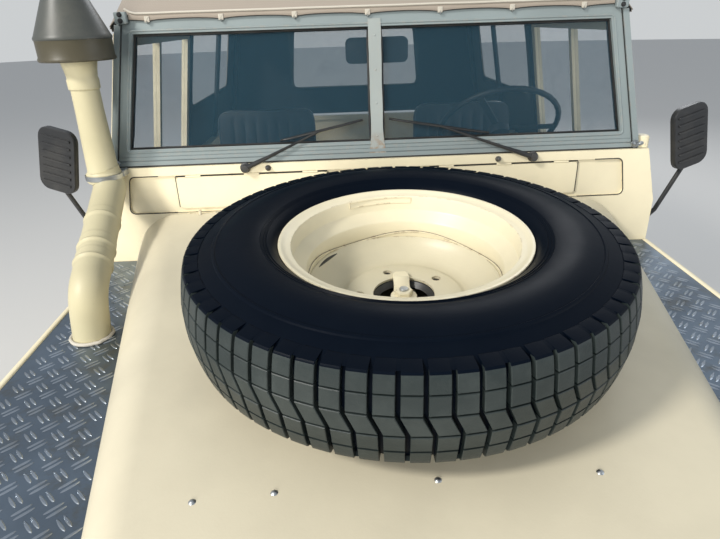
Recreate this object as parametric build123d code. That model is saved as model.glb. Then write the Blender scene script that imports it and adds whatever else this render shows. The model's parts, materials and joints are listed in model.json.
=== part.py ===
from build123d import *
import math
import os

# Light army 4x4 car with a canvas hood. Millimetres, ground at Z = 0, front at -Y, car's left at +X.

# Running gear
WHEELBASE = 2235
TRACK = 1308
FRONT_AXLE_Y = -1137
REAR_AXLE_Y = FRONT_AXLE_Y + WHEELBASE
TYRE_RADIUS = 391
TYRE_WIDTH = 191
TREAD_WIDTH = 146
TYRE_WALL = 14
RIM_RADIUS = 222
RIM_WIDTH = 127
RIM_LIP = 11
BEAD_RADIUS = 204
WELL_RADIUS = 180
RIM_WALL = 5
DISC_OFFSET = 51
DISC_SHEET = 6
STUD_CIRCLE = 165
STUD_COUNT = 5
STUD_HOLE = 17
HUB_BORE = 114
DRUM_RADIUS = 140
KINGPIN_OFFSET = 104
BALL_RADIUS = 78
SWIVEL_GAP = 6
STEER_ARM = 150
TRACK_ROD_Z = TYRE_RADIUS + 5
AXLE_TUBE = 42
DIFF_X = -170
DIFF_RADIUS = 122
NOSE = 200

# Chassis
GEARBOX_Z = 585
RAIL_X = 350
RAIL_WIDTH = 80
RAIL_HEIGHT = 110
SPRING_WIDTH = 64
LEAF = 8
LEAF_COUNT = 5
SPRING_SPAN = 1000
EYE_Z = 450

# Body
BODY_WIDTH = 1676
HALF = BODY_WIDTH / 2
HEADLAMP_X = HALF - 218
LAMP_Z = 905
SKIN = 4
SILL_Z = 560
WAIST_Z = 1165
BULKHEAD_Y = -500
BULKHEAD_DEPTH = 70
BULKHEAD_TOP_Z = 1372
FRONT_Y = -1680
STEERING_CENTRE = (455, -105, 1378)
TUB_FRONT_Y = 445
TUB_REAR_Y = 1740
TUB_SEAT_Z = 600
LOAD_FLOOR_Z = 720
FLOOR_SHEET = 6
ARCH_TOP_Z = 880
ARCH_HALF = 440
WHEEL_BOX_WIDTH = 340
WING_TOP_Z = 1070
LEVEL_Y = -1168
WING_SLOPE = 1.2
PLATE = 3

# Bonnet and what it carries
BONNET_TOP_Z = 1190
BONNET_SLOPE = 4.4
BONNET_FRONT_HALF = 453
BONNET_REAR_HALF = 728
BONNET_REAR_Y = -528
BONNET_SHEET = 4
SPARE_Y = -1167
SPARE_GAP = 37
SPARE_TURN = 37
HINGE_Y = -512
HINGE_Z = 1222
HINGE_ARM_X = 530

# Doors, windscreen and hood
DOOR_THICKNESS = 38
DOOR_GAP = 8
DOOR_HINGES_Z = (700, 1070)
WINDSCREEN_RAKE = 9.5
WINDSCREEN_HEIGHT = 398
WINDSCREEN_HALF = HALF - 68
FRAME_DEPTH = 34
POST = 49
GLASS = 5
LEAN = 9.6
DOOR_TOP_HEIGHT = 570
HOOD_SHEET = 4
HOOD_TOP_Z = 1968
HOOP_TUBE = 13

# Raised air intake
INTAKE_X = -(HALF - 124)
INTAKE_Y = -937
INTAKE_TOP_X = -(HALF - 69)
INTAKE_TOP_Y = -551
PIPE_RADIUS = 43
CAP_Z = 1668
UPRIGHT = [
    # low z, high z, low radius, high radius
    (1352, 1380, 46, 46),
    (1380, 1540, 41, 35),
    (1540, 1600, 35, 36),
    (1600, 1626, 39, 39),
    (1626, 1667.7, 38, 45),
]

FIT = 0.3
RAIL_STATIONS = [
    # y, height of the underside
    (FRONT_Y - 68, 480),
    (-1560, 484),
    (-1330, 540),
    (-930, 540),
    (-640, 484),
    (560, 484),
    (860, 556),
    (1340, 556),
    (1700, 490),
]
DOOR_FRONT_Y = BULKHEAD_Y + BULKHEAD_DEPTH + DOOR_GAP - 4
DOOR_PIN_X = HALF + 10
DOOR_PIN_Y = DOOR_FRONT_Y - 4


def rail_top(y):
    """Height of a chassis rail's top at a place along the car."""
    for (y0, z0), (y1, z1) in zip(RAIL_STATIONS, RAIL_STATIONS[1:]):
        if y0 <= y <= y1:
            return z0 + (z1 - z0) * (y - y0) / (y1 - y0) + RAIL_HEIGHT
    raise ValueError(y)


FLOOR_Z = rail_top(BULKHEAD_Y) + FIT + FLOOR_SHEET


def wing_z(y):
    """Height of a wing's flat top at a place along the car."""
    return WING_TOP_Z + math.tan(math.radians(WING_SLOPE)) * (y - LEVEL_Y)


def bonnet_z(y):
    """Height of the bonnet's top at a place along the car."""
    return BONNET_TOP_Z + math.tan(math.radians(BONNET_SLOPE)) * (y - LEVEL_Y)


def bonnet_half(y):
    """Half the bonnet's width at a place along the car."""
    share = (y - FRONT_Y) / (BONNET_REAR_Y - FRONT_Y)
    return BONNET_FRONT_HALF + (BONNET_REAR_HALF - BONNET_FRONT_HALF) * share


def block(x, y, z):
    """A box between three pairs of limits."""
    size = Box(x[1] - x[0], y[1] - y[0], z[1] - z[0])
    return Pos((x[0] + x[1]) / 2, (y[0] + y[1]) / 2, (z[0] + z[1]) / 2) * size


def side_sheet(points, x):
    """An outline of Y and Z points, as thick as the stretch of X."""
    face = Plane.YZ.offset(x[0]) * make_face(Polyline(*points, close=True))
    return extrude(face, amount=x[1] - x[0])


def front_sheet(points, y):
    """An outline of X and Z points, as thick as the stretch of Y."""
    face = Plane.XZ.offset(-y[0]) * make_face(Polyline(*points, close=True))
    return extrude(face, amount=-(y[1] - y[0]))


def plan_sheet(points, z):
    """An outline of X and Y points, as thick as the stretch of Z."""
    face = Plane.XY.offset(z[0]) * make_face(Polyline(*points, close=True))
    return extrude(face, amount=z[1] - z[0])


def rod(start, end, radius):
    """A round bar between two points."""
    along = Vector(end) - Vector(start)
    bar = Cylinder(radius, along.length, align=(Align.CENTER, Align.CENTER, Align.MIN))
    return Plane(origin=start, z_dir=along) * bar


def pipe(points, bend, radius, bore=0):
    """A tube along straight runs joined by arcs."""
    path = FilletPolyline(*points, radius=bend)
    ring = Circle(radius) - Circle(bore) if bore else Circle(radius)
    return sweep(Plane(origin=path @ 0, z_dir=path % 0) * ring, path=path)


def turned(profile):
    """A solid turned about X from points of X and radius."""
    face = make_face(Polyline(*profile, close=True))
    return revolve(face, Axis.X, 360)


def across(part):
    """A part with its mirror image on the car's other side."""
    return part + mirror(part, about=Plane.YZ)


def on_right(part):
    """The mirror image of a left-hand part."""
    return mirror(part, about=Plane.YZ)


# Tyre and wheel, made at the origin with the axle along X and the outer face at +X


def tyre():
    """A tyre casing, open to the wheel, with a crowned tread and sides that bulge over the rim."""
    wide = TYRE_WIDTH / 2
    tread = TREAD_WIDTH / 2
    bead = RIM_WIDTH / 2 - FIT
    right = [
        # distance from the middle, radius
        (tread * 0.25, TYRE_RADIUS),
        (tread * 0.7, TYRE_RADIUS - 5),
        (tread, TYRE_RADIUS - 13),
        (tread + 4, TYRE_RADIUS - 36),
        (wide, 288),
        (wide - 6, 250),
        (bead + 9, RIM_RADIUS + 3),
        (bead, RIM_RADIUS + FIT),
        (bead, BEAD_RADIUS + FIT),
    ]
    inner = [
        (bead - TYRE_WALL, BEAD_RADIUS + FIT),
        (bead - TYRE_WALL + 2, RIM_RADIUS + 8),
        (wide - TYRE_WALL, 288),
        (tread - TYRE_WALL, TYRE_RADIUS - 32),
    ]
    left = [(-x, r) for x, r in reversed(right + inner)]
    return turned(right + inner + left)


def stud_bars(radius, x):
    """Bars on the stud circle, between two limits of X."""
    bars = []
    for turn in range(STUD_COUNT):
        angle = math.radians(360 * turn / STUD_COUNT)
        y = STUD_CIRCLE / 2 * math.sin(angle)
        z = STUD_CIRCLE / 2 * math.cos(angle)
        bars.append(rod((x[0], y, z), (x[1], y, z), radius))
    return bars


def wheel_disc():
    """A pressed steel wheel: a dropped rim with rolled lips and a dished disc with stud holes."""
    edge = RIM_WIDTH / 2
    seat, well = BEAD_RADIUS, WELL_RADIUS
    lip = edge + RIM_LIP
    side = [
        # distance from the middle, radius
        (18, well),
        (34, seat - 3),
        (edge, seat),
        (edge, RIM_RADIUS - 8),
        (edge + 6, RIM_RADIUS),
        (lip, RIM_RADIUS),
        (lip, RIM_RADIUS - 4),
        (edge + 8, RIM_RADIUS - 5),
        (edge + 5, RIM_RADIUS - 11),
        (edge + 5, seat - RIM_WALL),
        (36, seat - 3 - RIM_WALL),
        (20, well - RIM_WALL),
    ]
    rim = turned(side + [(-x, r) for x, r in reversed(side)])
    face, back = DISC_OFFSET, DISC_OFFSET - DISC_SHEET
    outside = [
        (12, well - 3),
        (28, well - 8),
        (face - 6, 152),
        (face + 4, 132),
        (face + 4, 118),
        (face, 105),
        (face, HUB_BORE / 2),
    ]
    inside = [
        (back, HUB_BORE / 2),
        (back, 106),
        (back + 4, 119),
        (back + 4, 129),
        (back - 5, 147),
        (23, well - 14),
        (6, well - 6),
    ]
    disc = turned(outside + inside)
    for hole in stud_bars(STUD_HOLE / 2, (face - 40, face + 40)):
        disc -= hole
    return rim + disc


def road_wheel():
    """A wheel bolted to its hub and brake drum."""
    face = DISC_OFFSET - DISC_SHEET
    back = -44
    drum = [
        (back, DRUM_RADIUS),
        (face - 14, DRUM_RADIUS - 12),
        (face, DRUM_RADIUS - 30),
        (face, 32),
        (back + 4, 32),
        (back + 4, 45),
        (face - 10, 60),
        (face - 10, DRUM_RADIUS - 34),
        (back, DRUM_RADIUS - 8),
    ]
    cap = turned([(face, 0), (face, 52), (face + 26, 48), (face + 40, 34), (face + 40, 0)])
    wheel = wheel_disc() + turned(drum) + cap
    for stud in stud_bars(STUD_HOLE / 2 + 2, (face - 6, face + 26)):
        wheel += stud
    return wheel


TYRE = tyre()
ROAD_WHEEL = road_wheel()
CORNERS = [("front", FRONT_AXLE_Y), ("rear", REAR_AXLE_Y)]

parts = {}
for end, axle_y in CORNERS:
    place = Pos(TRACK / 2, axle_y, TYRE_RADIUS)
    parts[f"tyre_{end}_left"] = place * TYRE
    parts[f"tyre_{end}_right"] = on_right(place * TYRE)
    parts[f"wheel_{end}_left"] = place * ROAD_WHEEL
    parts[f"wheel_{end}_right"] = on_right(place * ROAD_WHEEL)


# Axles, swivels and steering linkage

KINGPIN_X = TRACK / 2 - KINGPIN_OFFSET
BACKPLATE_X = TRACK / 2 - 54
STUB_END = TRACK / 2 + DISC_OFFSET - DISC_SHEET - 2
SOCKET = BALL_RADIUS + SWIVEL_GAP


def differential(y, nose):
    """A banjo casing with its nose towards the gearbox; nose is +1 or -1 along Y."""
    bowl = Pos(DIFF_X, y, TYRE_RADIUS) * Rot(90, 0, 0) * Sphere(DIFF_RADIUS)
    bowl &= block((DIFF_X - 105, DIFF_X + 105), (y - 100, y + 100), (0, 1000))
    return bowl + rod((DIFF_X, y, TYRE_RADIUS), (DIFF_X, y + NOSE * nose, TYRE_RADIUS), 58)


def front_axle():
    """A live axle ending in two polished swivel balls."""
    centre = (KINGPIN_X, FRONT_AXLE_Y, TYRE_RADIUS)
    ball = Rot(90, 0, 0) * Sphere(BALL_RADIUS) & block((-200, 10), (-200, 200), (-200, 200))
    ball -= Cylinder(14 + FIT, 400)
    reach = KINGPIN_X - 40
    tube = rod((-reach, FRONT_AXLE_Y, TYRE_RADIUS), (reach, FRONT_AXLE_Y, TYRE_RADIUS), AXLE_TUBE)
    return tube + across(Pos(*centre) * ball) + differential(FRONT_AXLE_Y, 1)


def rear_axle():
    """A live axle with brake backplates at its ends."""
    y, z, reach = REAR_AXLE_Y, TYRE_RADIUS, BACKPLATE_X + 2
    tube = rod((-reach, y, z), (reach, y, z), AXLE_TUBE)
    plate = rod((BACKPLATE_X, y, z), (BACKPLATE_X + 5, y, z), DRUM_RADIUS - 14)
    stub = rod((BACKPLATE_X, y, z), (STUB_END, y, z), 32 - FIT)
    return tube + across(plate + stub) + differential(y, -1)


def knuckle():
    """A swivel housing round the ball, with its two pins, backplate, stub and arm."""
    shell = Rot(0, 90, 0) * (Sphere(SOCKET + 8) - Sphere(SOCKET))
    shell &= block((-25, BACKPLATE_X - KINGPIN_X), (-200, 200), (-200, 200))
    pins = Cylinder(14, 2 * SOCKET + 24) - Cylinder(15, 2 * BALL_RADIUS - 36)
    caps = Cylinder(30, 2 * SOCKET + 36) - Cylinder(31, 2 * SOCKET + 8)
    x = BACKPLATE_X - KINGPIN_X
    plate = rod((x, 0, 0), (x + 5, 0, 0), DRUM_RADIUS - 14)
    stub = rod((x, 0, 0), (STUB_END - KINGPIN_X, 0, 0), 32 - FIT)
    arm_z = TRACK_ROD_Z - TYRE_RADIUS + 24
    arm = block((-22, 22), (-STEER_ARM, -SOCKET + 4), (arm_z, arm_z + 16))
    arm += Pos(0, -STEER_ARM, arm_z + 8) * Cylinder(22, 16)
    arm -= Pos(0, -STEER_ARM, arm_z + 8) * Cylinder(8 + FIT, 40)
    whole = shell + pins + caps + plate + stub + (arm - Rot(0, 90, 0) * Sphere(SOCKET + 2))
    return Pos(KINGPIN_X, FRONT_AXLE_Y, TYRE_RADIUS) * whole


def track_rod():
    """The rod that joins the two steering arms, with a ball joint at each end."""
    y = FRONT_AXLE_Y - STEER_ARM
    bar = rod((-KINGPIN_X, y, TRACK_ROD_Z), (KINGPIN_X, y, TRACK_ROD_Z), 14)
    joint = Pos(KINGPIN_X, y, TRACK_ROD_Z) * Cylinder(20, 38)
    pin = Pos(KINGPIN_X, y, TRACK_ROD_Z + 20) * Cylinder(8, 48)
    return bar + across(joint + pin)


parts["axles"] = front_axle() + rear_axle()
parts["knuckle_left"] = knuckle()
parts["knuckle_right"] = on_right(knuckle())
parts["track_rod"] = track_rod()


# Chassis frame and leaf springs

SPRING_SEAT_Z = TYRE_RADIUS - AXLE_TUBE
SPRING_CAMBER = EYE_Z - SPRING_SEAT_Z + LEAF / 2


def chassis_frame():
    """Two box rails arched over the axles, cross members, outriggers and spring hangers."""
    upper = [(y, z + RAIL_HEIGHT) for y, z in reversed(RAIL_STATIONS)]
    x = (RAIL_X - RAIL_WIDTH / 2, RAIL_X + RAIL_WIDTH / 2)
    frame = side_sheet(RAIL_STATIONS + upper, x)
    for axle_y in (FRONT_AXLE_Y, REAR_AXLE_Y):
        for end in (-1, 1):
            y = axle_y + end * SPRING_SPAN / 2
            for cheek in (-1, 1):
                inner = RAIL_X + cheek * (SPRING_WIDTH / 2 + 5)
                frame += block((inner - 3, inner + 3), (y - 26, y + 26), (EYE_Z - 22, 520))
            frame -= rod((RAIL_X - 60, y, EYE_Z), (RAIL_X + 60, y, EYE_Z), 9 + FIT)
    outrigger_x = (RAIL_X, HALF - 44)
    for y in (-468, 474):
        frame += block(outrigger_x, (y - 28, y + 28), (510, SILL_Z - FIT))
    frame = across(frame)
    rail = (-RAIL_X, RAIL_X)
    members = [
        # y, underside, top, depth along the car
        (-1590, 500, 590, 60),
        (-440, 515, GEARBOX_Z - FIT, 60),
        (480, 515, 590, 60),
        (900, 580, 660, 50),
    ]
    for y, low, high, depth in members:
        frame += block(rail, (y - depth / 2, y + depth / 2), (low, high))
    rear = HALF - 78
    frame += block((-rear, rear), (TUB_REAR_Y - 50, TUB_REAR_Y + 18), (470, TUB_SEAT_Z))
    return frame


def leaf_spring(axle_y):
    """One pack of leaves on a common centre, with eyes, clamp plate and U-bolts."""
    half = SPRING_SPAN / 2
    radius = (half**2 + SPRING_CAMBER**2) / (2 * SPRING_CAMBER)
    pack = None
    for leaf in range(LEAF_COUNT):
        outer = radius + LEAF * (leaf + 1)
        band = Circle(outer) - Circle(outer - LEAF)
        reach = half * (1 - leaf / (LEAF_COUNT + 1))
        band &= Pos(0, -radius) * Rectangle(2 * reach, 600)
        pack = band if pack is None else pack + band
    turn = Plane.YZ.offset(RAIL_X - SPRING_WIDTH / 2) * Pos(axle_y, SPRING_SEAT_Z + radius) * pack
    spring = extrude(turn, amount=SPRING_WIDTH)
    for end in (-1, 1):
        y = axle_y + end * half
        spring += rod((RAIL_X - SPRING_WIDTH / 2, y, EYE_Z), (RAIL_X + SPRING_WIDTH / 2, y, EYE_Z), 20)
        spring += rod((RAIL_X - 50, y, EYE_Z), (RAIL_X + 50, y, EYE_Z), 9)
    low = SPRING_SEAT_Z - LEAF * LEAF_COUNT
    spring += block((RAIL_X - 48, RAIL_X + 48), (axle_y - 70, axle_y + 70), (low - 12, low + 4))
    top = TYRE_RADIUS + AXLE_TUBE + FIT
    for x in (RAIL_X - 41, RAIL_X + 41):
        for y in (axle_y - AXLE_TUBE - 9, axle_y + AXLE_TUBE + 9):
            spring += rod((x, y, low - 24), (x, y, top + 8), 7)
        spring += block((x - 7, x + 7), (axle_y - AXLE_TUBE - 16, axle_y + AXLE_TUBE + 16), (top, top + 14))
    return spring


def axle_clearance(axle_y):
    """The round space that an axle tube takes, for seating the springs."""
    return rod((-600, axle_y, TYRE_RADIUS), (600, axle_y, TYRE_RADIUS), AXLE_TUBE + FIT)


parts["chassis_frame"] = chassis_frame()
springs = across(leaf_spring(FRONT_AXLE_Y) + leaf_spring(REAR_AXLE_Y))
parts["leaf_springs"] = springs - axle_clearance(FRONT_AXLE_Y) - axle_clearance(REAR_AXLE_Y)


# Power unit, shafts, exhaust and tank


def engine_gearbox():
    """Engine block, bell housing, gearbox and transfer box as one casting."""
    engine = block((-210, 210), (-1330, -760), (660, 1010)) + block((-150, 150), (-1310, -800), (620, 660))
    bell = rod((0, -760, 690), (0, -640, 690), 150)
    gearbox = block((-105, 105), (-640, -100), (GEARBOX_Z, 760))
    transfer = block((-225, 110), (-330, -64), (430, GEARBOX_Z + 5))
    output = rod((DIFF_X, -360, 470), (DIFF_X, -30, 470), 45)
    foot_z = rail_top(-1110) + FIT
    feet = across(block((200, RAIL_X + 20), (-1140, -1080), (foot_z, foot_z + 36)))
    return engine + bell + gearbox + transfer + output + feet


def propshafts():
    """Front and rear propeller shafts with their flanges."""
    shafts = None
    for near, axle_y, way in ((-360, FRONT_AXLE_Y, -1), (-30, REAR_AXLE_Y, 1)):
        far = axle_y - way * (NOSE + FIT)
        near += way * FIT
        shaft = rod((DIFF_X, near + way * 8, 470), (DIFF_X, far - way * 8, TYRE_RADIUS), 25)
        shaft += rod((DIFF_X, near, 470), (DIFF_X, near + way * 14, 470), 44)
        shaft += rod((DIFF_X, far, TYRE_RADIUS), (DIFF_X, far - way * 14, TYRE_RADIUS), 44)
        shafts = shaft if shafts is None else shafts + shaft
    return shafts


def exhaust():
    """Front pipe from the engine, silencer and tail pipe."""
    x, low, bore = 180, 430, 21
    down = [(210 + FIT, -1000, 760), (262, -1000, 760), (262, -900, 560), (200, -600, low), (x, 260, low)]
    silencer = rod((x, 240, low), (x, 760, low), 78)
    over_axle = [(x, 740, low), (x, 900, 500), (x, 1300, 500), (x, 1560, 420), (x, 1800, 420)]
    return pipe(down, 24, bore) + silencer + pipe(over_axle, 60, bore)


def fuel_tank():
    """Sheet-steel tank under the right-hand seat."""
    tank = block((-HALF + 63, -410), (-40, 380), (430, FLOOR_Z - FLOOR_SHEET - FIT))
    return fillet(tank.edges(), 22)


parts["engine_gearbox"] = engine_gearbox() + propshafts()
parts["exhaust"] = exhaust()
parts["fuel_tank"] = fuel_tank()


# Wings, front panel, lamps and bumper

INNER_WING_X = 420


def arch(axle_y, x):
    """The cut-out over a wheel, with a flat top and rounded corners."""
    points = [
        (axle_y - ARCH_HALF - 60, 300),
        (axle_y - ARCH_HALF, SILL_Z),
        (axle_y - 300, ARCH_TOP_Z),
        (axle_y + 300, ARCH_TOP_Z),
        (axle_y + ARCH_HALF, SILL_Z),
        (axle_y + ARCH_HALF + 60, 300),
    ]
    face = make_face(Polyline(*points, close=True))
    face = fillet(face.vertices().sort_by(Axis.Y)[-2:], 90)
    return extrude(Plane.YZ.offset(x[0]) * face, amount=x[1] - x[0])


def wing():
    """A left front wing: flat top, side with its arch, front face and inner wall."""
    back = BULKHEAD_Y - FIT
    low_front = 650
    outline = [
        (FRONT_Y, low_front),
        (FRONT_Y, wing_z(FRONT_Y)),
        (back, wing_z(back)),
        (back, SILL_Z),
        (-650, SILL_Z),
        (-800, low_front),
    ]
    outer = side_sheet(outline, (INNER_WING_X, HALF))
    outer = fillet(outer.edges().filter_by(Axis.Y, tolerance=3).group_by(Axis.Z)[-1].sort_by(Axis.X)[-1:], 16)
    t = SKIN
    room = [
        (FRONT_Y + t, 0),
        (FRONT_Y + t, wing_z(FRONT_Y) - t),
        (back + 50, wing_z(back) - t),
        (back + 50, 0),
    ]
    hollow = side_sheet(room, (INNER_WING_X + t, HALF - t))
    panel = outer - hollow - arch(FRONT_AXLE_Y, (HALF - 50, HALF + 50))
    lamp = rod((HEADLAMP_X, FRONT_Y - 20, LAMP_Z), (HEADLAMP_X, FRONT_Y + 40, LAMP_Z), 82)
    lock_y = (FRONT_AXLE_Y - 340, FRONT_AXLE_Y + 340)
    lock_room = block((INNER_WING_X - 1, INNER_WING_X + t + 1), lock_y, (600, 730))
    return panel - lamp - lock_room


def wing_plate():
    """A chequer plate that covers one wing's top from its lip to the bonnet."""
    front, back = FRONT_Y + 14, BONNET_REAR_Y + 22
    points = [
        (HALF - 14, front),
        (HALF - 14, back),
        (bonnet_half(back) + 5, back),
        (bonnet_half(front) + 5, front),
    ]
    slab = plan_sheet(points, (1000, 1200))
    seat = wing_z(front) + FIT
    rise = wing_z(back) - wing_z(front)
    band = [(front, seat), (back, seat + rise), (back, seat + rise + PLATE), (front, seat + PLATE)]
    return slab & side_sheet(band, (0, HALF))


def front_panel():
    """The upright panel between the wings, with its opening for the grille and the radiator."""
    x = INNER_WING_X - FIT
    low = rail_top(-1600) + FIT
    panel = block((-x, x), (-1662, -1656), (low, 1108))
    panel += block((-x, x), (-1662, -1600), (low, low + 6))
    panel += block((-x, x), (-1662, -1610), (1102, 1108))
    return panel - block((-300, 300), (-1700, -1640), (690, 1060))


def grille():
    """A welded mesh of crossed wires in a flat frame."""
    low, high, half = 684, 1066, 306
    y = -1662 - FIT
    frame = block((-half, half), (y - 8, y), (low, high))
    frame -= block((-half + 16, half - 16), (y - 9, y + 1), (low + 16, high - 16))
    upright = [block((x - 2, x + 2), (y - 4, y), (low, high)) for x in range(-272, 273, 34)]
    level = [block((-half, half), (y - 8, y - 4), (z - 2, z + 2)) for z in range(low + 38, high - 20, 34)]
    for wire in upright + level:
        frame += wire
    return frame


def radiator():
    """The radiator core and its tank behind the grille."""
    core = block((-290, 290), (-1656, -1610), (640, 1060))
    return core + block((-290, 290), (-1656, -1600), (1050, 1090))


def front_lamps():
    """Headlamp in its round bowl, side lamp and turn lamp on the left wing."""
    x, y, z = HEADLAMP_X, FRONT_Y, LAMP_Z
    bowl = rod((x, y - 14, z), (x, y + 60, z), 81.5)
    rim = rod((x, y - 16, z), (x, y - FIT, z), 98)
    lamp = bowl + rim + Pos(x, y - 10, z) * scale(Sphere(74), by=(1, 0.35, 1))
    small_x = HALF - 73
    side = rod((small_x, y - 26, 975), (small_x, y - FIT, 975), 32)
    turn = rod((small_x, y - 26, 850), (small_x, y - FIT, 850), 32)
    return lamp + side + turn


def rear_lamps():
    """Stop and tail lamp, turn lamp and reflector on the left rear corner."""
    x, y = HALF - 68, TUB_REAR_Y
    group = None
    for z in (1060, 960, 860):
        lamp = rod((x, y + FIT, z), (x, y + 28, z), 34)
        group = lamp if group is None else group + lamp
    return group


def front_bumper():
    """A folded channel across the chassis horns."""
    front, back = FRONT_Y - 130, FRONT_Y - 68 - FIT
    half = HALF - 38
    channel = block((-half, half), (front, back), (470, 600))
    channel -= block((-half - 1, half + 1), (front + 6, back - 6), (476, 594))
    channel -= block((-half - 1, half + 1), (back - 10, back + 1), (494, 576))
    return channel + block((-410, 410), (back - 6, back), (476, 594))


parts["wings"] = across(wing())
parts["wing_plates"] = across(wing_plate())
parts["front_panel"] = front_panel() + radiator()
parts["grille"] = grille()
parts["lamps"] = across(front_lamps() + rear_lamps())
parts["front_bumper"] = front_bumper()


# Bulkhead, dashboard, floor and seats


def steering_line(step):
    """A point on the steering column, a distance down from the wheel's centre."""
    down = math.radians(45)
    x, y, z = STEERING_CENTRE
    return (x, y - step * math.cos(down), z - step * math.sin(down))


def bulkhead():
    """Fire wall, box scuttle with its pressed recess and two vent flaps, and the door pillars."""
    front, back = BULKHEAD_Y, BULKHEAD_Y + BULKHEAD_DEPTH
    wall_half, box_half = HALF - 58, HALF - 48
    wall = block((-wall_half, wall_half), (front, front + 6), (FLOOR_Z - FLOOR_SHEET, 1200))
    wall -= block((-165, 165), (front - 5, front + 10), (590, 800))
    scuttle = block((-box_half, box_half), (front, back), (1200, BULKHEAD_TOP_Z))
    scuttle -= block((4 - box_half, box_half - 4), (front + 16, back + 1), (1204, BULKHEAD_TOP_Z - 4))
    pillar_outline = [
        (HALF - 40, SILL_Z),
        (HALF, SILL_Z),
        (HALF, 1215),
        (HALF - 42, BULKHEAD_TOP_Z),
        (HALF - 82, BULKHEAD_TOP_Z),
    ]
    pillar = front_sheet(pillar_outline, (front, back - 6))
    low, high = HALF - 96, HALF - 116
    recess = front_sheet([(-low, 1234), (low, 1234), (high, 1346), (-high, 1346)], (front - 1, front + 8))
    recess = fillet(recess.edges().filter_by(Axis.Y), 18)
    whole = wall + scuttle + across(pillar) - recess
    for left, right in ((-590, -150), (150, 590)):
        flap = block((left, right), (front + 2, front + 10), (1246, 1340))
        whole += fillet(flap.edges().filter_by(Axis.Y), 10)
    bracket = rod((HINGE_ARM_X - 42, HINGE_Y, HINGE_Z), (HINGE_ARM_X + 42, HINGE_Y, HINGE_Z), 5)
    for x in (HINGE_ARM_X - 42, HINGE_ARM_X + 34):
        bracket += block((x, x + 8), (HINGE_Y - 9, front), (HINGE_Z - 12, HINGE_Z + 10))
    hinges = None
    for z in DOOR_HINGES_Z:
        leaf = block((HALF, HALF + 6), (DOOR_PIN_Y - 56, DOOR_PIN_Y - 9), (z - 40, z + 40))
        for low in (z - 40, z + 22 + FIT):
            leaf += block((HALF, DOOR_PIN_X), (DOOR_PIN_Y - 12, DOOR_PIN_Y), (low, low + 18 - FIT))
            leaf += rod((DOOR_PIN_X, DOOR_PIN_Y, low), (DOOR_PIN_X, DOOR_PIN_Y, low + 18 - FIT), 8)
        leaf += rod((DOOR_PIN_X, DOOR_PIN_Y, z - 40), (DOOR_PIN_X, DOOR_PIN_Y, z + 40), 4)
        hinges = leaf if hinges is None else hinges + leaf
    column_hole = rod(steering_line(0), steering_line(600), 24 + FIT)
    return whole + across(bracket + hinges) - column_hole


def dashboard():
    """Padded dash rail with the instrument panel in its middle."""
    back = BULKHEAD_Y + BULKHEAD_DEPTH + FIT
    profile = [
        (back, BULKHEAD_TOP_Z - 1),
        (back + 56, 1352),
        (back + 66, 1300),
        (back + 54, 1264),
        (back, 1256),
    ]
    rail = side_sheet(profile, (78 - HALF, HALF - 78))
    return rail + block((-150, 150), (back + 20, back + 84), (1262, 1350))


def floor_seatbox():
    """Foot wells, gearbox tunnel, seat box and outer sills in one welded tray."""
    back = TUB_FRONT_Y - 5
    edge = HALF - DOOR_THICKNESS - 8
    y0 = BULKHEAD_Y + 6 + FIT
    under = FLOOR_Z - FLOOR_SHEET
    tray = block((-edge, edge), (y0, -60), (under, FLOOR_Z))
    tray -= block((-160, 160), (y0 - 1, -50), (FLOOR_Z - 10, FLOOR_Z + 10))
    tunnel = block((-166, 166), (y0, -60), (under, 806)) - block((-160, 160), (y0 - 1, -59), (500, 800))
    box = block((-edge, edge), (-60, back), (under, 860))
    box -= block((-edge + 4, edge - 4), (-56, back - 4), (500, 856))
    box -= block((-160, 160), (-70, -40), (500, 800))
    tank_top = block((-edge + 4, -405), (-56, back - 4), (under, FLOOR_Z))
    sill_outline = [
        (edge - 6, FLOOR_Z),
        (edge - 6, 552),
        (HALF - 4, 552),
        (HALF - 4, 470),
        (HALF, 470),
        (HALF, 556),
        (edge, 556),
        (edge, FLOOR_Z),
    ]
    sill = front_sheet(sill_outline, (-420, back - 6))
    return tray + tunnel + box + tank_top + across(sill)


def seats():
    """Two outer seats and a centre seat, each a cushion and a squab."""
    group = None
    for x, width, top in ((-430, 430, 1400), (0, 320, 1250), (430, 430, 1400)):
        low = 860 + FIT
        cushion = block((x - width / 2, x + width / 2), (-50, 360), (low, low + 120))
        cushion = fillet(cushion.edges(), 22)
        squab = side_sheet([(366, low), (426, low), (436, top), (384, top)], (x - width / 2, x + width / 2))
        squab = fillet(squab.edges(), 18)
        pair = cushion + squab
        group = pair if group is None else group + pair
    return group


def steering_column():
    """The column's outer tube from the fire wall to the wheel."""
    return rod(steering_line(60), steering_line(545), 24) - rod(steering_line(50), steering_line(520), 12)


def steering_wheel():
    """A round rim with a hub, three spokes and the shaft."""
    rim = Torus(206, 10)
    hub = Pos(0, 0, -18) * Cylinder(38, 36)
    wheel = rim + hub
    for turn in (0, 120, 240):
        wheel += Rot(0, 0, turn) * Pos(115, 0, -6) * Box(180, 22, 6)
    wheel += Pos(0, 0, -60) * Cylinder(11, 80)
    centre = Plane(origin=steering_line(0), x_dir=(1, 0, 0), z_dir=(0, 1, 1))
    return centre * wheel


parts["bulkhead"] = bulkhead()
parts["dashboard"] = dashboard() + steering_column()
parts["floor_seatbox"] = floor_seatbox()
parts["seats"] = seats()
parts["steering_wheel"] = steering_wheel()


# Windscreen, wipers and mirrors

SCREEN = Plane(
    origin=(0, BULKHEAD_Y + 30, BULKHEAD_TOP_Z + FIT),
    x_dir=(1, 0, 0),
    z_dir=(0, -math.cos(math.radians(WINDSCREEN_RAKE)), math.sin(math.radians(WINDSCREEN_RAKE))),
)


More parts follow.
